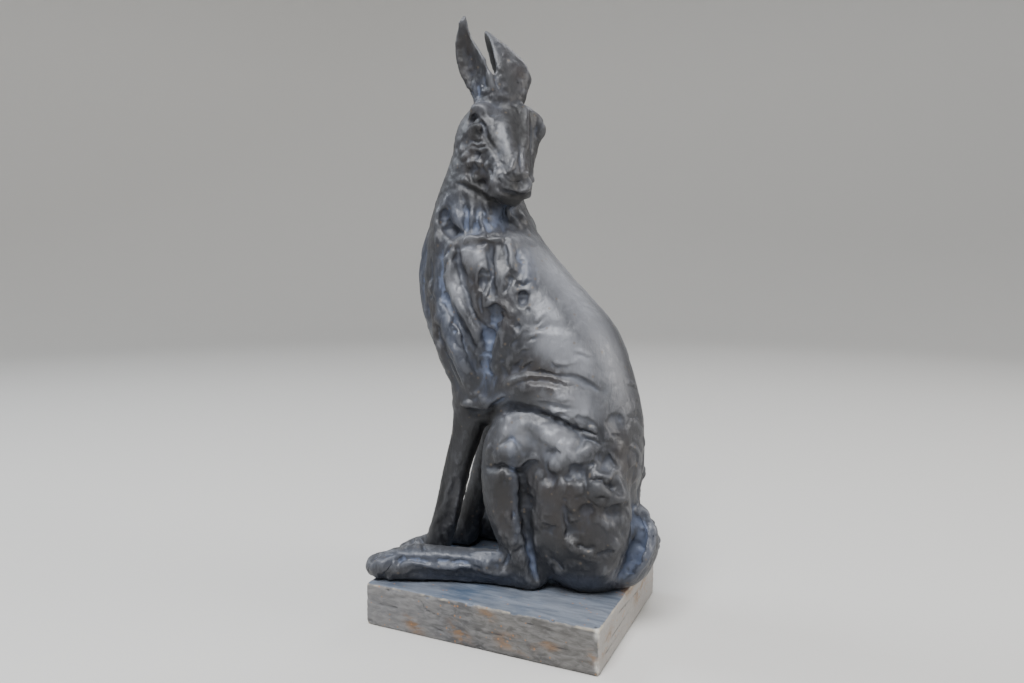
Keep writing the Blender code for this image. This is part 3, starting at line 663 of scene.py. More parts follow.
# %% Work the marks into the clay
MARKED_REGIONS = [
    ("ears", EAR_MARKS, HEAD_MIRROR),
    ("face", FACE_MARKS, HEAD_MIRROR),
    ("breast", BREAST_MARKS, BODY_MIRROR),
    ("flank", FLANK_MARKS, BODY_MIRROR),
    ("thigh", THIGH_MARKS, BODY_MIRROR),
    ("tail", TAIL_MARKS, BODY_MIRROR),
    ("feet", FOOT_MARKS, BODY_MIRROR),
]

# the hand is never steady: how far the strokes wander, how quickly, from which start, and by which axis
WOBBLES = [
    (0.00025, 900, 2.0, [1, 2, 0]),
    (0.0005, 410, 5.0, [2, 0, 1]),
]
DEEPEST_MARK = -0.0060
HIGHEST_MARK = 0.0030

unsteady_points = rest_points.copy()
for size, speed, start, by_axis in WOBBLES:
    unsteady_points += size * np.sin(rest_points[:, by_axis] * speed + start)
for tools in (("press",), ("thumb", "scoop", "ledge"), ("knife",)):
    directions = normals_of(skin)
    moved = np.zeros(len(rest_points))
    for name, marks, mirror in MARKED_REGIONS:
        moved += clay_moved(marks, tools, rest_surface, mirror, unsteady_points, rest_normals)
    moved = np.clip(moved, DEEPEST_MARK, HIGHEST_MARK)
    put_points(skin, points_of(skin) + directions * moved[:, None])
    print(tools, "moved", int((abs(moved) > 0.0002).sum()), "points, from",
          round(moved.min() * 1000, 1), "to", round(moved.max() * 1000, 1), "mm")

# %% [markdown]
# ## The kneaded clay between the marks
# Between the strokes the real surface is never even: it is patted, pinched and scraped. A cell pattern
# does this well, because each cell is one dab of clay with its own slope and a crease where it meets the
# next. Blender has such a pattern as a texture, but a texture can't be stretched differently on thigh,
# breast and back. So the cells are made here in arrays, with one grain for each region: coarse lumps on
# the haunch, long upright dabs on the breast, broad faint ones on the back, fine ones on the head.

# %% Dabs of clay
LARGEST_NUMBER = 4294967295.0
CREASE_WIDTH = 0.5  # how wide the crease between two dabs is, in cells


def scattered(cells, seed):
    """Three even random numbers from 0 to 1 for each cell, the same on every run."""
    whole = cells.astype(np.uint32)
    number = whole[..., 0] * np.uint32(73856093) ^ whole[..., 1] * np.uint32(19349663)
    number = number ^ whole[..., 2] * np.uint32(83492791) ^ np.uint32(seed * 2654435 + 977)
    draws = []
    for _ in range(3):
        # large odd factors stir the number until nothing of the cell's place shows in it
        number = (number ^ (number >> np.uint32(15))) * np.uint32(2246822519)
        number = (number ^ (number >> np.uint32(13))) * np.uint32(3266489917)
        number = number ^ (number >> np.uint32(16))
        draws.append(number / LARGEST_NUMBER)
    return np.stack(draws, axis=-1)


def dabs(points, grain, seed):
    """Heights from -1 to 1: one tilted dab a cell, with a crease between the cells."""
    place = points / grain
    place = place + 0.35 * np.sin(place[:, [1, 2, 0]] * 1.7 + seed) + 0.2 * np.sin(place[:, [2, 0, 1]] * 3.1)
    home = np.floor(place).astype(np.int64)
    nearest = np.full(len(place), 9.0)
    second = np.full(len(place), 9.0)
    slope = np.zeros(len(place))
    for x in (-1, 0, 1):
        for y in (-1, 0, 1):
            for z in (-1, 0, 1):
                cell = home + (x, y, z)
                draw = scattered(cell, seed)
                offset = place - cell - draw
                distance = np.linalg.norm(offset, axis=1)
                tilt = (offset * (scattered(cell, seed + 7) - 0.5)).sum(axis=1)
                closer = distance < nearest
                second = np.where(closer, nearest, np.minimum(second, distance))
                slope = np.where(closer, tilt * 2 + draw[:, 1] - 0.5, slope)
                nearest = np.where(closer, distance, nearest)
    crease = 1 - (1 - np.clip((second - nearest) / CREASE_WIDTH, 0, 1)) ** 2
    return 0.9 * slope * crease + 0.9 * crease - 0.6


print("three dabs 40 mm apart:", dabs(np.eye(3) * 40, np.array((15, 15, 16)), 3).round(2))

# %% Knead the skin
# centre and reach of each region, then height and grain of its dabs, all in millimetres
KNEADED_REGIONS = [
    ((62, 6, 105), 72, 1.7, (15, 15, 16)),
    ((-50, 6, 235), 78, 1.0, (11, 11, 20)),
    ((62, 6, 225), 62, 0.45, (16, 16, 16)),
    ((-25, 0, 375), 60, 0.45, (6.5, 6.5, 6.5)),
    ((-40, 6, 90), 55, 0.6, (9, 9, 16)),
    ((0, 6, 45), 110, 0.5, (9, 9, 7)),
]
FINE_DABS = (0.10, (5, 5, 7))
SMALLEST_WEIGHT = 0.05

kneading = np.zeros(len(rest_points))
weight_sum = np.full(len(rest_points), SMALLEST_WEIGHT)
for number, (centre, reach, height, grain) in enumerate(KNEADED_REGIONS):
    away = np.linalg.norm(rest_points * 1000 - centre, axis=1) / reach
    weight = np.exp(-2.2 * away ** 2)
    kneading += weight * height * dabs(rest_points * 1000, np.array(grain), number + 3)
    weight_sum += weight
fine_height, fine_grain = FINE_DABS
kneading = kneading / weight_sum + fine_height * dabs(rest_points * 1000, np.array(fine_grain), 21)
kneading = kneading * MILLIMETRE
put_points(skin, points_of(skin) + normals_of(skin) * kneading[:, None])
print("kneading from", round(kneading.min() * 1000, 2), "to", round(kneading.max() * 1000, 2), "mm")

# %% [markdown]
# ## Where the skin is high and where it is deep
# The painter's wash of blue-grey ran into the hollows, and hands rubbed the crests. A shader can't know
# what is hollow, but the mesh can: a point that lies below the mean of its neighbours is in a hollow. The
# skin is compared with a copy smoothed a little, for cuts, and with one smoothed a lot, for whole folds.
# Both values are kept on the points as attributes, which a material reads by name.

# %% Smooth the skin a little and measure its relief
LAST_SMOOTHING = (1, 0.35)
NEAR_ROUNDS = 8
FAR_ROUNDS = 70


def rise_over(points, smoother, normals, full_height):
    """How far each point stands out from its smoothed place, as a share of a full height."""
    return ((points - smoother) * normals).sum(axis=1) / full_height


work_points = smoothed(points_of(skin), skin_ends, skin_meetings, *LAST_SMOOTHING)
hare_low, hare_high = (np.array(corner[:]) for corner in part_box("hare"))
work_points = np.clip(work_points, hare_low, hare_high)
put_points(skin, work_points)
work_normals = normals_of(skin)
little_smoothed = smoothed(work_points, skin_ends, skin_meetings, NEAR_ROUNDS)
far_smoothed = smoothed(little_smoothed, skin_ends, skin_meetings, FAR_ROUNDS)
near_relief = rise_over(work_points, little_smoothed, work_normals, 0.6 * MILLIMETRE)
far_relief = rise_over(work_points, far_smoothed, work_normals, 3 * MILLIMETRE)
print("near relief", np.percentile(near_relief, [2, 50, 98]).round(2))
print("far relief", np.percentile(far_relief, [2, 50, 98]).round(2))

# %% [markdown]
# ## Where the painter's washes went
# Over a dark grey-brown ground the painter let a thin blue-grey run down the neck, the breast, the feet and
# the tail. The forelegs, the shank and the lower thigh are painted nearly black, as dark paint and painted
# shade, and painted shade goes under the jaw and into the eyes, nostrils, mouth and creases. A paler satin
# grey is painted on the back, the flank, the breast and the bridge of the nose as a painted sheen. A mask
# by height alone would look like a tide line, so the washes are laid with the same stroke tool as the clay
# marks, only wider, and kept as attributes. The material breaks their edges with noise.

# %% Lay the washes
# for each wash: the brush's reach in millimetres, how strong it is, and its strokes
WASHES = {
    "blue_wash": [
        (16, 0.9, [[(430, 210), (424, 250), (424, 300), (432, 340)], [(447, 205), (470, 222), (505, 215)]]),
        (12, 1.0, [[(443, 250), (440, 290), (448, 330), (462, 372)], [(492, 318), (488, 350), (488, 385)]]),
        (10, 0.9, [[(525, 255), (530, 285)]]),
        (5, 0.9, [[(514, 425), (512, 455), (516, 500), (518, 540)], [(526, 545), (534, 575)]]),
        (12, 1.0, [[(376, 560), (400, 556), (450, 562), (500, 556)], [(420, 577), (470, 581), (520, 582)]]),
        (16, 1.1, [[(636, 515), (648, 535), (636, 562), (612, 580)], [(560, 582), (600, 586)]]),
        (9, 0.8, [[(472, 100), (480, 84)], [(486, 404), (510, 398)]]),
    ],
    "brown_wash": [
        (20, 1.3, [[(540, 480), (570, 500), (600, 515)], [(530, 370), (560, 385)], [(545, 520), (590, 540)]]),
        (14, 1.0, [[(505, 470), (505, 530)], [(510, 45), (522, 80)], [(620, 440), (632, 490)]]),
        (14, 1.0, [[(463, 25), (466, 80)]]),
        (12, 0.8, [[(505, 380), (540, 375)], [(500, 300), (508, 330)], [(487, 330), (478, 300), (462, 250)]]),
        (18, 0.8, [[(475, 120), (472, 165), (492, 190)], [(512, 105), (525, 140), (524, 185)]]),
        (14, 0.8, [[(497, 235), (480, 238), (455, 245)], [(432, 300), (440, 370), (455, 400)]]),
    ],
    # soot: near black on the forelegs, shank and lower thigh as dark paint and painted shade, and painted
    # shade under the jaw and in the eyes, nostrils, mouth and creases
    "shade_and_dark_paint": [
        (15, 1.1, [[(462, 410), (448, 450), (438, 500), (430, 535)], [(480, 425), (470, 470), (462, 520)]]),
        (12, 1.0, [[(470, 190), (490, 200), (515, 205)], [(497, 405), (484, 430)], [(508, 108), (518, 128)]]),
        (9, 0.7, [[(462, 35), (464, 70)], [(520, 470), (525, 530)], [(500, 60), (515, 92)]]),
        (9, 1.2, [[(508, 179), (517, 183), (524, 180)], [(496, 198), (512, 201), (526, 198)]]),
        (11, 1.2, [[(514, 104), (519, 120), (519, 146)], [(470, 181), (482, 190)]]),
        (8, 0.9, [[(471, 120), (474, 130), (480, 140)], [(488, 134), (493, 150)]]),
        (22, 0.6, [[(560, 545), (600, 545)], [(500, 470), (496, 500)], [(590, 500), (620, 500)]]),
    ],
    # satin: a paler grey painted where the sheen lies on the back, the flank, the breast and the bridge of
    # the nose, a painted sheen
    "satin": [
        (26, 0.7, [[(530, 250), (570, 290), (600, 340), (618, 400)]]),
        (24, 1.2, [[(545, 330), (565, 352), (590, 372)]]),
        (14, 1.2, [[(466, 246), (480, 262)], [(452, 280), (458, 300)], [(540, 300), (560, 340)]]),
        (5, 0.5, [[(500, 125), (504, 150)]]),
        (18, 1.2, [[(550, 400), (590, 410)], [(540, 436), (570, 452)], [(520, 425), (512, 440)]]),
    ],
}


def washed(brush_strokes, surface, mirror, points, normals):
    """How much of one wash each point carries, from 0 to 1."""
    wash = np.zeros(len(points))
    for reach, strength, strokes in brush_strokes:
        for run in laid(strokes, surface, mirror):
            near, amount = pressed(points, normals, run, "thumb", reach * MILLIMETRE)
            wash[near] = np.maximum(wash[near], strength * amount)
    return np.clip(wash, 0, 1)


hare_values = {"near_relief": near_relief, "far_relief": far_relief}
for wash_name, brush_strokes in WASHES.items():
    hare_values[wash_name] = washed(brush_strokes, rest_surface, BODY_MIRROR, rest_points, rest_normals)
    print(wash_name, "covers", int((hare_values[wash_name] > 0.3).sum()), "points")

# %% [markdown]
# ## Fewer faces where the skin is plain
# The skin now has far more faces than the part may carry. Decimate takes faces out of the smooth places
# first and leaves the cuts crisp, which a coarser Remesh wouldn't. The relief and the washes were
# measured on the full skin, so each point that is left looks up its values at the nearest old points.

# %% Thin the skin and hand over its values
MOST_TRIANGLES = 195000


def hand_over(values, old_points, mesh):
    """Give the points of a mesh the values of the nearest old points, as named attributes."""
    tree = kdtree.KDTree(len(old_points))
    for index, place in enumerate(old_points):
        tree.insert(place, index)
    tree.balance()
    nearest = np.array([[found[1] for found in tree.find_n(place, 3)] for place in points_of(mesh)])
    for name, value in values.items():
        attribute = mesh.attributes.new(name, "FLOAT", "POINT")
        attribute.data.foreach_set("value", value[nearest].mean(axis=1).astype(np.float32))


def shade_smooth(mesh):
    """Let light run smoothly over the faces."""
    mesh.polygons.foreach_set("use_smooth", [True] * len(mesh.polygons))
    mesh.update()


thinning = hare.modifiers.new("fewer faces", "DECIMATE")
thinning.ratio = min(1.0, MOST_TRIANGLES / (2 * len(skin.polygons)))
skin = keep_modifiers(hare)
hand_over(hare_values, work_points, skin)
shade_smooth(skin)
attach(hare, "root")
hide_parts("hare")
print("the hare has", len(skin.polygons), "faces")

# %% [markdown]
# ## The plinth as a worn slab
# The plinth is cast with the figure and was never sharp. Its edges wander, corners are knocked off, the
# sides show level ridges like stacked slate, and brush strokes lie on the top. A bevel would round it
# evenly. Here the slab gets an even skin, and each point goes inwards by an amount made of long waves,
# ridges, chips and a few cracks that were read off the picture. Nothing goes outwards, so the slab keeps
# its size and stands flat.

# %% The slab's skin
SLAB_GRAIN = 0.0013
slab_low, slab_high = (np.array(corner[:]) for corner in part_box("plinth"))

plinth, slab = dipped("plinth", "plinth_slab", SLAB_GRAIN, 0)
slab_points = points_of(slab)
slab_normals = normals_of(slab)
slab_surface = surface_of(slab)
print("the slab has", len(slab_points), "points")

# %% Cracks and chips of the slab
SLAB_MARKS = [
    ("crack along the front", "knife", 1.6, -1.1, [
        [(395.5, 597.5), (414, 599), (421, 603), (425, 610), (442, 619)],
        [(372, 601), (384, 606), (398, 608)], [(470, 628), (486, 634), (505, 636)],
        [(520, 622), (545, 630), (566, 636)], [(430, 627), (444, 633)], [(548, 646), (570, 652)],
    ]),
    ("chips on the front edge", "thumb", 3.4, -1.6, [
        [(387, 591)], [(426, 597)], [(471, 603)], [(514, 612)], [(553, 619)], [(366, 584)],
        [(596, 626)], [(598, 668)], [(402, 636)], [(478, 648)], [(369.5, 622)],
    ]),
    ("flakes low on the front", "thumb", 5, -0.7, [
        [(404, 622), (416, 630)], [(448, 628), (466, 636)], [(500, 640), (520, 648)], [(575, 655)],
    ]),
    ("cracks of the end", "knife", 1.5, -1.0, [
        [(612, 640), (630, 612)], [(606, 656), (622, 632)],
        [(632, 586), (648, 570)], [(618, 616), (640, 590)],
    ]),
]
print("marks on the slab:", len(SLAB_MARKS))

# %% Dent the slab
# middle depth and swing of each unevenness in millimetres, and how long its waves are in metres
UNEVENNESS = {
    "wave": (0.28, 0.28, (0.045, 0.045, 0.03)),
    "ridges": (0.34, 0.34, (0.03, 0.03, 0.0026)),
    "fine": (0.16, 0.16, (0.004, 0.004, 0.003)),
    "worn": (0.55, 1.0, (0.011, 0.011, 0.011)),
    "strokes": (0.10, 0.14, (0.03, 0.003, 0.01)),
}
EDGE_WIDTH = 2.2  # millimetres from an edge over which it is worn round
EDGE_WEAR = 1.3
FOOT_LINE = (1.0, 1.1, 1.2)  # height, width and depth of the groove at the foot
DEEPEST_DENT = 3
EVEN_FOOT = 0.4  # millimetres at the foot that stay straight, so that the slab stands flat


def wander(points, stretch, seed):
    """Soft uneven heights from -1 to 1, long where the stretch is long."""
    from_place = Vector((seed * 17.3, seed * 5.9, seed * 11.1))
    return np.array([
        noise.fractal(Vector(place) + from_place, 0.9, 2.1, 4) for place in points / np.array(stretch)
    ])


def slab_dent(points, normals):
    """How far each point of the slab goes inwards, in millimetres."""
    height = (points[:, 2] - slab_low[2]) * 1000
    to_top = (slab_high[2] - points[:, 2]) * 1000
    to_side = 1000 * np.minimum.reduce([
        points[:, 0] - slab_low[0], slab_high[0] - points[:, 0],
        points[:, 1] - slab_low[1], slab_high[1] - points[:, 1],
    ])
    upright = np.clip(1 - abs(normals[:, 2]), 0, 1)
    edge = np.exp(-np.maximum(to_top, to_side) / EDGE_WIDTH)
    uneven = {
        name: middle + swing * wander(points, stretch, seed)
        for seed, (name, (middle, swing, stretch)) in enumerate(UNEVENNESS.items(), 1)
    }
    foot_height, foot_width, foot_depth = FOOT_LINE
    foot_line = foot_depth * np.exp(-((height - foot_height) / foot_width) ** 2)
    dent = upright * (uneven["wave"] + uneven["ridges"] + uneven["fine"] + foot_line)
    dent += (1 - upright) * uneven["strokes"] + EDGE_WEAR * edge * np.clip(uneven["worn"], 0, 2)
    return np.clip(dent, 0, DEEPEST_DENT) * (height > EVEN_FOOT)


dent = slab_dent(slab_points, slab_normals) * MILLIMETRE
dent -= clay_moved(SLAB_MARKS, PROFILES, slab_surface, None, slab_points, slab_normals)
put_points(slab, np.clip(slab_points - slab_normals * dent[:, None], slab_low, slab_high))
print("the slab is dented by up to", round(dent.max() * 1000, 1), "mm")

# %% Relief, rubbed edges, rust and a painted highlight on the slab
slab_ends, slab_meetings = neighbours_of(slab)
worn_points = points_of(slab)
worn_normals = normals_of(slab)
slab_little = smoothed(worn_points, slab_ends, slab_meetings, 6)
slab_far = smoothed(slab_little, slab_ends, slab_meetings, 50)
RUB_WIDTH = 0.0017
ROUNDED_CORNER = 0.0006
RUST_STROKES = [
    (9, 1.0, [[(408, 620), (418, 632)], [(452, 626), (466, 644)], [(500, 640), (528, 648)]]),
    (6, 0.8, [[(540, 640), (556, 650)], [(590, 655), (597, 664)], [(478, 612), (492, 618)]]),
    (7, 0.9, [[(612, 630), (604, 655)], [(636, 600), (646, 580)], [(624, 596), (640, 570)]]),
]
# a painted highlight down the near corner of the slab
HIGHLIGHT_STROKES = [
    (3, 1.0, [[(597, 628), (597, 640)], [(597, 662), (598, 672)]]),
]
from_top = slab_high[2] - slab_points[:, 2]
from_sides = np.minimum(slab_points[:, :2] - slab_low[:2], slab_high[:2] - slab_points[:, :2])
to_edge = np.minimum(np.maximum(from_top, from_sides.min(axis=1)), from_sides.max(axis=1) + ROUNDED_CORNER)
slab_values = {
    "edge_rub": np.exp(-(to_edge / RUB_WIDTH) ** 2),
    "near_relief": rise_over(worn_points, slab_little, worn_normals, 0.5 * MILLIMETRE),
    "far_relief": rise_over(worn_points, slab_far, worn_normals, 2 * MILLIMETRE),
    "rust": washed(RUST_STROKES, slab_surface, None, slab_points, slab_normals),
    "painted_highlight": washed(HIGHLIGHT_STROKES, slab_surface, None, slab_points, slab_normals),
}
hand_over(slab_values, worn_points, slab)
shade_smooth(slab)
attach(plinth, "root")
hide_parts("plinth")
for name, value in slab_values.items():
    print(name, np.percentile(value, [2, 50, 98]).round(2))

# %% [markdown]
# ## Paint effects that both finishes share
# Hare and plinth were painted on one bench with the same few tricks: paint brushed on in streaks, a mask of
# the hollows, crests rubbed bare, and specks. The mask of the hollows carries a thin wash that dries in
# them, painted shade in the hare's deepest cuts and a darker grey in the plinth's hollows and cracks. Each
# trick is a node group with its own inputs, built once and used in both materials with other values. A
# group gives out only masks. The colours, the bump and the shader stay in each material, where they can
# be seen together.

# %% Helpers for nodes
def add(tree, kind, settings, inputs):
    """One node: its settings, and its inputs set to values or joined to other outputs."""
    made = tree.nodes.new(kind)
    for name, value in settings.items():
        setattr(made, name, value)
    for name, value in inputs.items():
        if isinstance(value, bpy.types.NodeSocket):
            tree.links.new(value, made.inputs[name])
        else:
            made.inputs[name].default_value = value
    return made


def maths(tree, operation, first, second=0.5, third=0.5):
    """One sum of the nodes, cut off below 0 and above 1."""
    inputs = {0: first, 1: second, 2: third}
    made = add(tree, "ShaderNodeMath", {"operation": operation, "use_clamp": True}, inputs)
    return made.outputs[0]


def open_maths(tree, operation, first, second=0.5, third=0.5):
    """The same sum, free to leave the range from 0 to 1."""
    made = add(tree, "ShaderNodeMath", {"operation": operation}, {0: first, 1: second, 2: third})
    return made.outputs[0]


def ramped(tree, value, low, high):
    """A soft step from 0 at the low value to 1 at the high one."""
    inputs = {"Value": value, "From Min": low, "From Max": high}
    return add(tree, "ShaderNodeMapRange", {"interpolation_type": "SMOOTHSTEP"}, inputs).outputs[0]


def coated(tree, colour, share, paint, strength=1.0):
    """A colour with paint over it, where a mask says so and up to a strength."""
    share = maths(tree, "MULTIPLY", share, strength)
    inputs = {0: share, 6: colour, 7: paint if isinstance(paint, bpy.types.NodeSocket) else (*paint, 1)}
    return add(tree, "ShaderNodeMix", {"data_type": "RGBA"}, inputs).outputs[2]


def paint_group(name, inputs, outputs):
    """An empty node group with named inputs and outputs."""
    group = bpy.data.node_groups.new(name, "ShaderNodeTree")
    for label, kind, value in inputs:
        socket = group.interface.new_socket(name=label, in_out="INPUT", socket_type=kind)
        socket.default_value = value
    for label in outputs:
        group.interface.new_socket(name=label, in_out="OUTPUT", socket_type="NodeSocketFloat")
    entry = group.nodes.new("NodeGroupInput")
    leave = group.nodes.new("NodeGroupOutput")
    return group, entry.outputs, leave.inputs


def placed(tree, group, inputs):
    """A group placed in a material, with this material's own values."""
    return add(tree, "ShaderNodeGroup", {"node_tree": group}, inputs).outputs


def joined(tree, shader, outputs):
    """Join outputs to the shader's inputs by name."""
    for name, output in outputs.items():
        tree.links.new(output, shader.inputs[name])


FLOAT = "NodeSocketFloat"
VECTOR = "NodeSocketVector"
print("node helpers ready")

# %% The shared tricks: streaks, washes, rubbed crests, specks
streaks, given, result = paint_group(
    "brushed streaks",
    [("Where", VECTOR, (0, 0, 0)), ("Stretch", VECTOR, (1, 1, 1)), ("Fineness", FLOAT, 100.0)],
    ["Streaks", "Mottle"],
)
stretched = add(streaks, "ShaderNodeVectorMath", {"operation": "MULTIPLY"}, {0: given[0], 1: given[1]})
drawn = add(streaks, "ShaderNodeTexNoise", {}, {
    "Vector": stretched.outputs[0], "Scale": given[2], "Detail": 5, "Roughness": 0.62, "Distortion": 0.5,
})
cloudy = add(streaks, "ShaderNodeTexNoise", {}, {
    "Vector": given[0], "Scale": open_maths(streaks, "MULTIPLY", given[2], 0.22),
    "Detail": 4, "Roughness": 0.6,
})
streaks.links.new(ramped(streaks, drawn.outputs[0], 0.33, 0.67), result[0])
streaks.links.new(ramped(streaks, cloudy.outputs[0], 0.36, 0.64), result[1])

hollows, given, result = paint_group(
    "depth of the hollows",
    [("Near", FLOAT, 0.0), ("Far", FLOAT, 0.0), ("Break", FLOAT, 0.5), ("Reach", FLOAT, 0.5)],
    ["Mask"],
)
depth = open_maths(hollows, "MULTIPLY_ADD", given[0], -0.55, given[3])
depth = open_maths(hollows, "MULTIPLY_ADD", given[1], -0.6, depth)
ragged = open_maths(hollows, "MULTIPLY_ADD", given[2], 0.5, -0.25)
depth = open_maths(hollows, "ADD", depth, ragged)
hollows.links.new(ramped(hollows, depth, 0.35, 1.05), result[0])

crests, given, result = paint_group(
    "rubbed crests",
    [
        ("Near", FLOAT, 0.0), ("Far", FLOAT, 0.0), ("Break", FLOAT, 0.5),
        ("Reach", FLOAT, 0.5), ("Pull", FLOAT, 0.35),
    ],
    ["Mask"],
)
rise = open_maths(crests, "MULTIPLY_ADD", given[0], 0.6, given[3])
rise = open_maths(crests, "MULTIPLY_ADD", given[1], given[4], rise)
ragged = open_maths(crests, "MULTIPLY_ADD", given[2], 0.7, -0.35)
rise = open_maths(crests, "ADD", rise, ragged)
crests.links.new(ramped(crests, rise, 0.6, 1.3), result[0])

specks, given, result = paint_group(
    "specks",
    [("Where", VECTOR, (0, 0, 0)), ("Fineness", FLOAT, 400.0), ("Share", FLOAT, 0.1)],
    ["Mask"],
)
cells = add(specks, "ShaderNodeTexVoronoi", {}, {"Vector": given[0], "Scale": given[1]})
lucky = add(specks, "ShaderNodeSeparateColor", {}, {"Color": cells.outputs["Color"]})
chosen = maths(specks, "LESS_THAN", lucky.outputs[0], given[2])
round_speck = ramped(specks, cells.outputs["Distance"], 0.42, 0.22)
specks.links.new(maths(specks, "MULTIPLY", chosen, round_speck), result[0])
print("groups:", [group.name for group in bpy.data.node_groups])

# %% [markdown]
# ## The hare's finish: dark bronze over resin
# The real skin is a nearly black grey-brown with a satin varnish, so most of what is seen is the gloss on
# top of a dark ground. A metal shader would mirror too much. A Principled shader with a dark base, a
# little metallic and a middle roughness gives the soft sheen. The ground goes to blue-grey where the wash
# settled and to brown where it was left. It is painted near black in the cuts, under the jaw and in the
# eyes, which is painted shade, and on the forelegs and the lower thigh, which is dark paint and painted
# shade. The rubbed crests are painted a paler grey, and so are slopes that face up and the places where the
# sheen lies on the back, as painted light and painted sheen, so that slopes that face up are lighter than
# those that face down.

# %% Helpers for materials
BUMP_HEIGHT = 0.0006


def painted_material(name):
    """A material with nodes, its tree, its shader, and the place on the object."""
    material = bpy.data.materials.new(name)
    material.use_nodes = True
    tree = material.node_tree
    shader = tree.nodes["Principled BSDF"]
    where = tree.nodes.new("ShaderNodeTexCoord").outputs["Object"]
    return material, tree, shader, where


def kept_value(tree, name):
    """A value that was kept on the mesh's points."""
    return add(tree, "ShaderNodeAttribute", {"attribute_name": name}, {}).outputs["Fac"]


def facing_parts(tree):
    """The X, Y and Z of the way in which each place faces."""
    facing = add(tree, "ShaderNodeNewGeometry", {}, {}).outputs["Normal"]
    return add(tree, "ShaderNodeSeparateXYZ", {}, {"Vector": facing}).outputs


def bumped(tree, height, strength):
    """Small bumps from a height between 0 and 1."""
    inputs = {"Strength": strength, "Distance": BUMP_HEIGHT, "Height": height}
    return add(tree, "ShaderNodeBump", {}, inputs).outputs["Normal"]


print("bumps are up to", BUMP_HEIGHT, "m high")

# %% The hare's material
DARK_GROUND = (0.010, 0.0095, 0.0095)
LIGHTER_GROUND = (0.020, 0.0195, 0.021)
SHEEN_AND_RUB_GREY = (0.200, 0.206, 0.226)
WARM_BROWN = (0.022, 0.016, 0.011)
BLUE_GREY = (0.095, 0.118, 0.180)
SHADE_AND_DARK_PAINT_BLACK = (0.012, 0.012, 0.013)
CUT_SHADE_BLACK = (0.010, 0.010, 0.012)
BROWN_SPECK = (0.11, 0.085, 0.06)

bronze, tree, shader, where = painted_material("dark_bronze_patina")
near = kept_value(tree, "near_relief")
far = kept_value(tree, "far_relief")
brush = placed(tree, streaks, {"Where": where, "Stretch": (1, 1, 0.45), "Fineness": 260})
broad = placed(tree, streaks, {"Where": where, "Stretch": (1, 1, 0.6), "Fineness": 90})
hollow = placed(tree, hollows, {"Near": near, "Far": far, "Break": brush[0], "Reach": 0.30})[0]
# the deepest cuts, where shade is painted in
cut_shade = placed(tree, hollows, {"Near": near, "Far": 0.0, "Break": broad[0], "Reach": -0.60})[0]
crest = placed(tree, crests, {"Near": near, "Far": far, "Break": brush[0], "Reach": 0.45})[0]
dots = placed(tree, specks, {"Where": where, "Fineness": 300, "Share": 0.05})[0]

colour = coated(tree, (*DARK_GROUND, 1), broad[1], LIGHTER_GROUND)
# painted light and painted sheen: slopes that face up, the sheen wash and the rubbed crests are painted a
# paler grey, so up-facing slopes look lit
painted_light_from_above = ramped(tree, facing_parts(tree)["Z"], -0.15, 0.8)
painted_sheen_and_rub = maths(tree, "MULTIPLY_ADD", painted_light_from_above, 0.20, maths(tree, "MULTIPLY", crest, 0.20))
# the satin wash adds painted sheen to the paler grey
painted_sheen_and_rub = maths(tree, "MULTIPLY_ADD", kept_value(tree, "satin"), 0.80, painted_sheen_and_rub)
colour = coated(tree, colour, painted_sheen_and_rub, SHEEN_AND_RUB_GREY)
brown_share = maths(tree, "MULTIPLY", kept_value(tree, "brown_wash"), ramped(tree, broad[0], -0.4, 0.9))
colour = coated(tree, colour, brown_share, WARM_BROWN, 0.8)
blue_kept = maths(tree, "MULTIPLY_ADD", kept_value(tree, "blue_wash"), 0.8, 0.20)
blue_share = maths(tree, "MULTIPLY", blue_kept, maths(tree, "MULTIPLY_ADD", hollow, 0.7, 0.30))
colour = coated(tree, colour, blue_share, BLUE_GREY)
# painted shade and dark paint: near black where that wash lies
shade_and_dark_paint = kept_value(tree, "shade_and_dark_paint")
colour = coated(tree, colour, shade_and_dark_paint, SHADE_AND_DARK_PAINT_BLACK, 0.92)
# painted shade: the deepest cuts are painted near black
colour = coated(tree, colour, cut_shade, CUT_SHADE_BLACK, 0.5)
colour = coated(tree, colour, dots, BROWN_SPECK, 0.5)
dull = maths(tree, "MULTIPLY_ADD", hollow, 0.12, maths(tree, "MULTIPLY_ADD", brush[0], 0.14, 0.36))
dull = maths(tree, "MULTIPLY_ADD", shade_and_dark_paint, 0.16, dull)
shader.inputs["Metallic"].default_value = 0.08
shader.inputs["Specular IOR Level"].default_value = 0.48

clay_height = maths(tree, "MULTIPLY_ADD", brush[0], 0.6, maths(tree, "MULTIPLY", broad[0], 0.4))
joined(tree, shader, {
    "Base Color": colour, "Roughness": dull, "Normal": bumped(tree, clay_height, 0.4),
})
skin.materials.clear()
skin.materials.append(bronze)
print(bronze.name, "has", len(tree.nodes), "nodes")

# %% [markdown]
# ## The plinth's finish: worn grey-blue paint
# The plinth shows layers: a dark ground, matt grey-blue paint brushed on along the slab, bluer on the top
# close to the figure, and a pale dry brush over every ridge. Where the paint has gone from the edges a
# cream primer shows, and low on the front there are ochre and rust patches. The end of the slab is painted
# paler, as painted light from the right, and a painted highlight runs down the near corner. It is the same
# set of tricks as the hare's, with larger steps between them and no gloss.

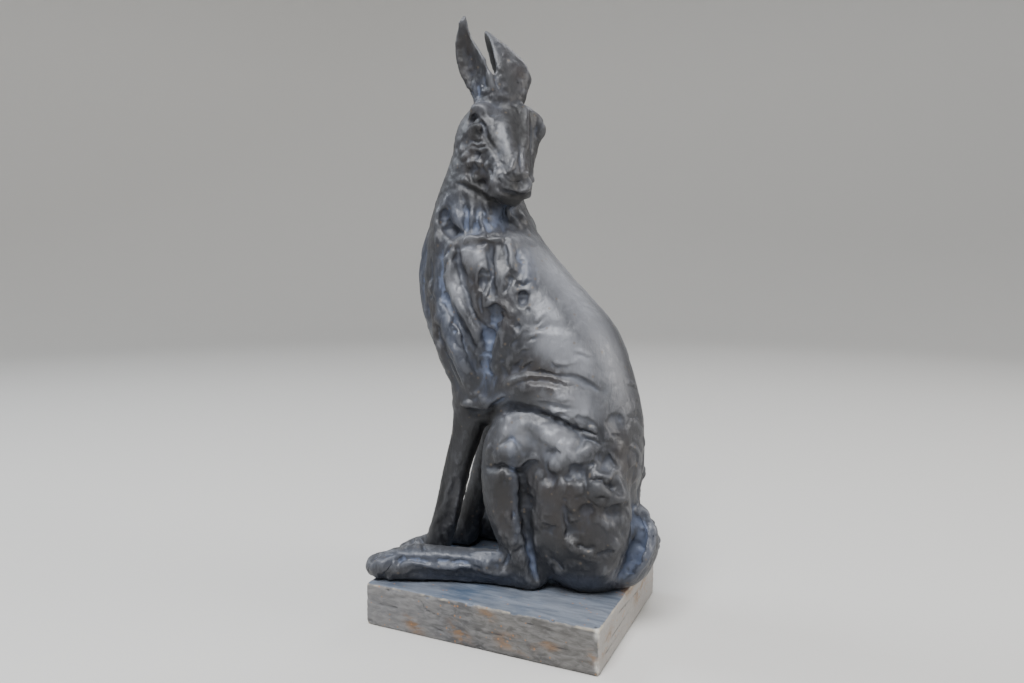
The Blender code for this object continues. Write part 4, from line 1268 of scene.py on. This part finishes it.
# %% The plinth's material
DARK_SLATE = (0.040, 0.040, 0.043)
PALE_SLATE = (0.140, 0.138, 0.140)
LIT_END_GREY = (0.40, 0.38, 0.36)
LIGHT_GREY = (0.27, 0.27, 0.28)
DEEP_BLUE = (0.045, 0.070, 0.115)
CHALKY_BLUE = (0.135, 0.165, 0.220)
WORN_BUFF = (0.30, 0.28, 0.25)
RUST_BROWN = (0.21, 0.120, 0.060)
CRACK_GREY = (0.045, 0.045, 0.05)
CREAM_PRIMER = (0.42, 0.37, 0.29)
HIGHLIGHT_WHITE = (0.68, 0.66, 0.62)
RUST_SPECK = (0.35, 0.17, 0.07)

slate, tree, shader, where = painted_material("grey_blue_plinth_paint")
near = kept_value(tree, "near_relief")
far = kept_value(tree, "far_relief")
facing = facing_parts(tree)
on_top = ramped(tree, facing["Z"], 0.5, 0.9)
# painted light: the end that faces the lamp on the right
lit_end = ramped(tree, facing["X"], 0.5, 0.9)
grain = placed(tree, streaks, {"Where": where, "Stretch": (0.5, 0.5, 1.3), "Fineness": 210})
sweep = placed(tree, streaks, {"Where": where, "Stretch": (0.18, 1, 1), "Fineness": 170})
patch = placed(tree, streaks, {"Where": where, "Stretch": (0.5, 0.5, 1.2), "Fineness": 75})
hollow = placed(tree, hollows, {"Near": near, "Far": far, "Break": grain[0], "Reach": 0.15})[0]
edge_rub = kept_value(tree, "edge_rub")
edge = placed(tree, crests, {
    "Near": near, "Far": edge_rub, "Break": patch[0], "Reach": -0.20, "Pull": 1.1,
})[0]
dots = placed(tree, specks, {"Where": where, "Fineness": 420, "Share": 0.05})[0]

side = coated(tree, (*DARK_SLATE, 1), grain[0], PALE_SLATE)
# painted light from the right: the end is painted paler
side = coated(tree, side, lit_end, LIT_END_GREY, 0.65)
along = add(tree, "ShaderNodeSeparateXYZ", {}, {"Vector": where}).outputs["X"]
side = coated(tree, side, ramped(tree, along, 0.04, -0.09), LIGHT_GREY, 0.35)
top = coated(tree, (*DEEP_BLUE, 1), sweep[0], CHALKY_BLUE)
colour = coated(tree, side, on_top, top)
colour = coated(tree, colour, patch[1], WORN_BUFF, 0.22)
rust_share = maths(tree, "MULTIPLY", kept_value(tree, "rust"), ramped(tree, patch[0], 0.25, 0.75))
colour = coated(tree, colour, rust_share, RUST_BROWN, 0.85)
# darker grey in the slab's hollows and cracks
colour = coated(tree, colour, hollow, CRACK_GREY, 0.7)
colour = coated(tree, colour, edge, CREAM_PRIMER, 0.75)
# painted highlight: a near-white line down the near corner
colour = coated(tree, colour, kept_value(tree, "painted_highlight"), HIGHLIGHT_WHITE, 0.55)
colour = coated(tree, colour, dots, RUST_SPECK, 0.6)
shader.inputs["Specular IOR Level"].default_value = 0.35
paint_height = maths(tree, "MULTIPLY_ADD", grain[0], 0.5, maths(tree, "MULTIPLY", sweep[0], 0.5))
joined(tree, shader, {
    "Base Color": colour,
    "Roughness": maths(tree, "MULTIPLY_ADD", grain[0], 0.2, 0.58),
    "Normal": bumped(tree, paint_height, 0.5),
})
slab.materials.clear()
slab.materials.append(slate)
print(slate.name, "has", len(tree.nodes), "nodes")

# %% [markdown]
# ## Floor and light
# Dark satin shows its shape only by what it reflects, so the studio needs large soft lamps more than
# bright ones. The largest hangs overhead and a little to the left, as in the picture: it lights the back
# and the lower side of every hollow, and leaves the underside of every fold dark. A lamp on the right
# lights the plinth's end. The floor is one pale bowl that runs up all round in a wide curve, so that no
# horizon cuts through the figure from any side. The world is dim to everything but the camera, because a
# pale sky would lie as a grey veil on every dark surface.

# %% The pale floor
FLAT_RADIUS = 2.15
CURVE_RADIUS = 1.2
BOWL_RIM = (3.4, 3.0)
SPOKES = 64

rings = [(radius, 0.0) for radius in (0.4, 0.9, 1.6, FLAT_RADIUS)]
for turn in np.linspace(0.12, 1.5, 14):
    rings.append((FLAT_RADIUS + math.sin(turn) * CURVE_RADIUS, (1 - math.cos(turn)) * CURVE_RADIUS))
rings.append(BOWL_RIM)
floor_points = [(0, 0, 0)]
for radius, height in rings:
    for spoke in range(SPOKES):
        turn = 2 * math.pi * spoke / SPOKES
        floor_points.append((radius * math.cos(turn), radius * math.sin(turn), height))
floor_faces = [(0, 1 + spoke, 1 + (spoke + 1) % SPOKES) for spoke in range(SPOKES)]
for ring in range(len(rings) - 1):
    start = 1 + ring * SPOKES
    for spoke in range(SPOKES):
        after = (spoke + 1) % SPOKES
        floor_faces.append((start + spoke, start + SPOKES + spoke, start + SPOKES + after, start + after))
floor_mesh = bpy.data.meshes.new("studio_floor")
floor_mesh.from_pydata(floor_points, [], floor_faces)
shade_smooth(floor_mesh)
floor = bpy.data.objects.new("studio_floor", floor_mesh)
bpy.context.collection.objects.link(floor)
pale, tree, shader, where = painted_material("pale_floor")
shader.inputs["Base Color"].default_value = (0.62, 0.61, 0.59, 1)
shader.inputs["Roughness"].default_value = 0.8
floor_mesh.materials.append(pale)
print("the floor has", len(floor_faces), "faces")

# %% Soft lamps
MIDDLE_OF_THE_FIGURE = Vector((0, 0, 0.22))
LAMPS = [
    # name, place, width, power and colour
    ("large_lamp_above", (0.15, -1.15, 2.0), 1.1, 80, (0.98, 0.99, 1.0)),
    ("lamp_right", (1.9, 0.45, 0.8), 0.9, 24, (1.0, 0.97, 0.93)),
    ("lamp_left", (-1.6, -0.1, 1.6), 0.6, 18, (0.85, 0.92, 1.0)),
    ("lamp_behind", (0.3, 1.6, 1.8), 1.0, 12, (0.95, 0.97, 1.0)),
]
for name, place, width, power, tint in LAMPS:
    lamp_data = bpy.data.lights.new(name, "AREA")
    lamp_data.size = width
    lamp_data.energy = power
    lamp_data.color = tint
    lamp = bpy.data.objects.new(name, lamp_data)
    lamp.location = place
    lamp.rotation_euler = (MIDDLE_OF_THE_FIGURE - Vector(place)).to_track_quat("-Z", "Y").to_euler()
    bpy.context.collection.objects.link(lamp)
studio = bpy.data.worlds.new("studio")
studio.use_nodes = True
sky = studio.node_tree.nodes["Background"]
sky.inputs["Color"].default_value = (0.86, 0.88, 0.92, 1)
seen_first = add(studio.node_tree, "ShaderNodeLightPath", {}, {}).outputs["Is Camera Ray"]
strength = maths(studio.node_tree, "MULTIPLY_ADD", seen_first, 0.6, 0.08)
studio.node_tree.links.new(strength, sky.inputs["Strength"])
bpy.context.scene.world = studio
print("lamps:", len(LAMPS))
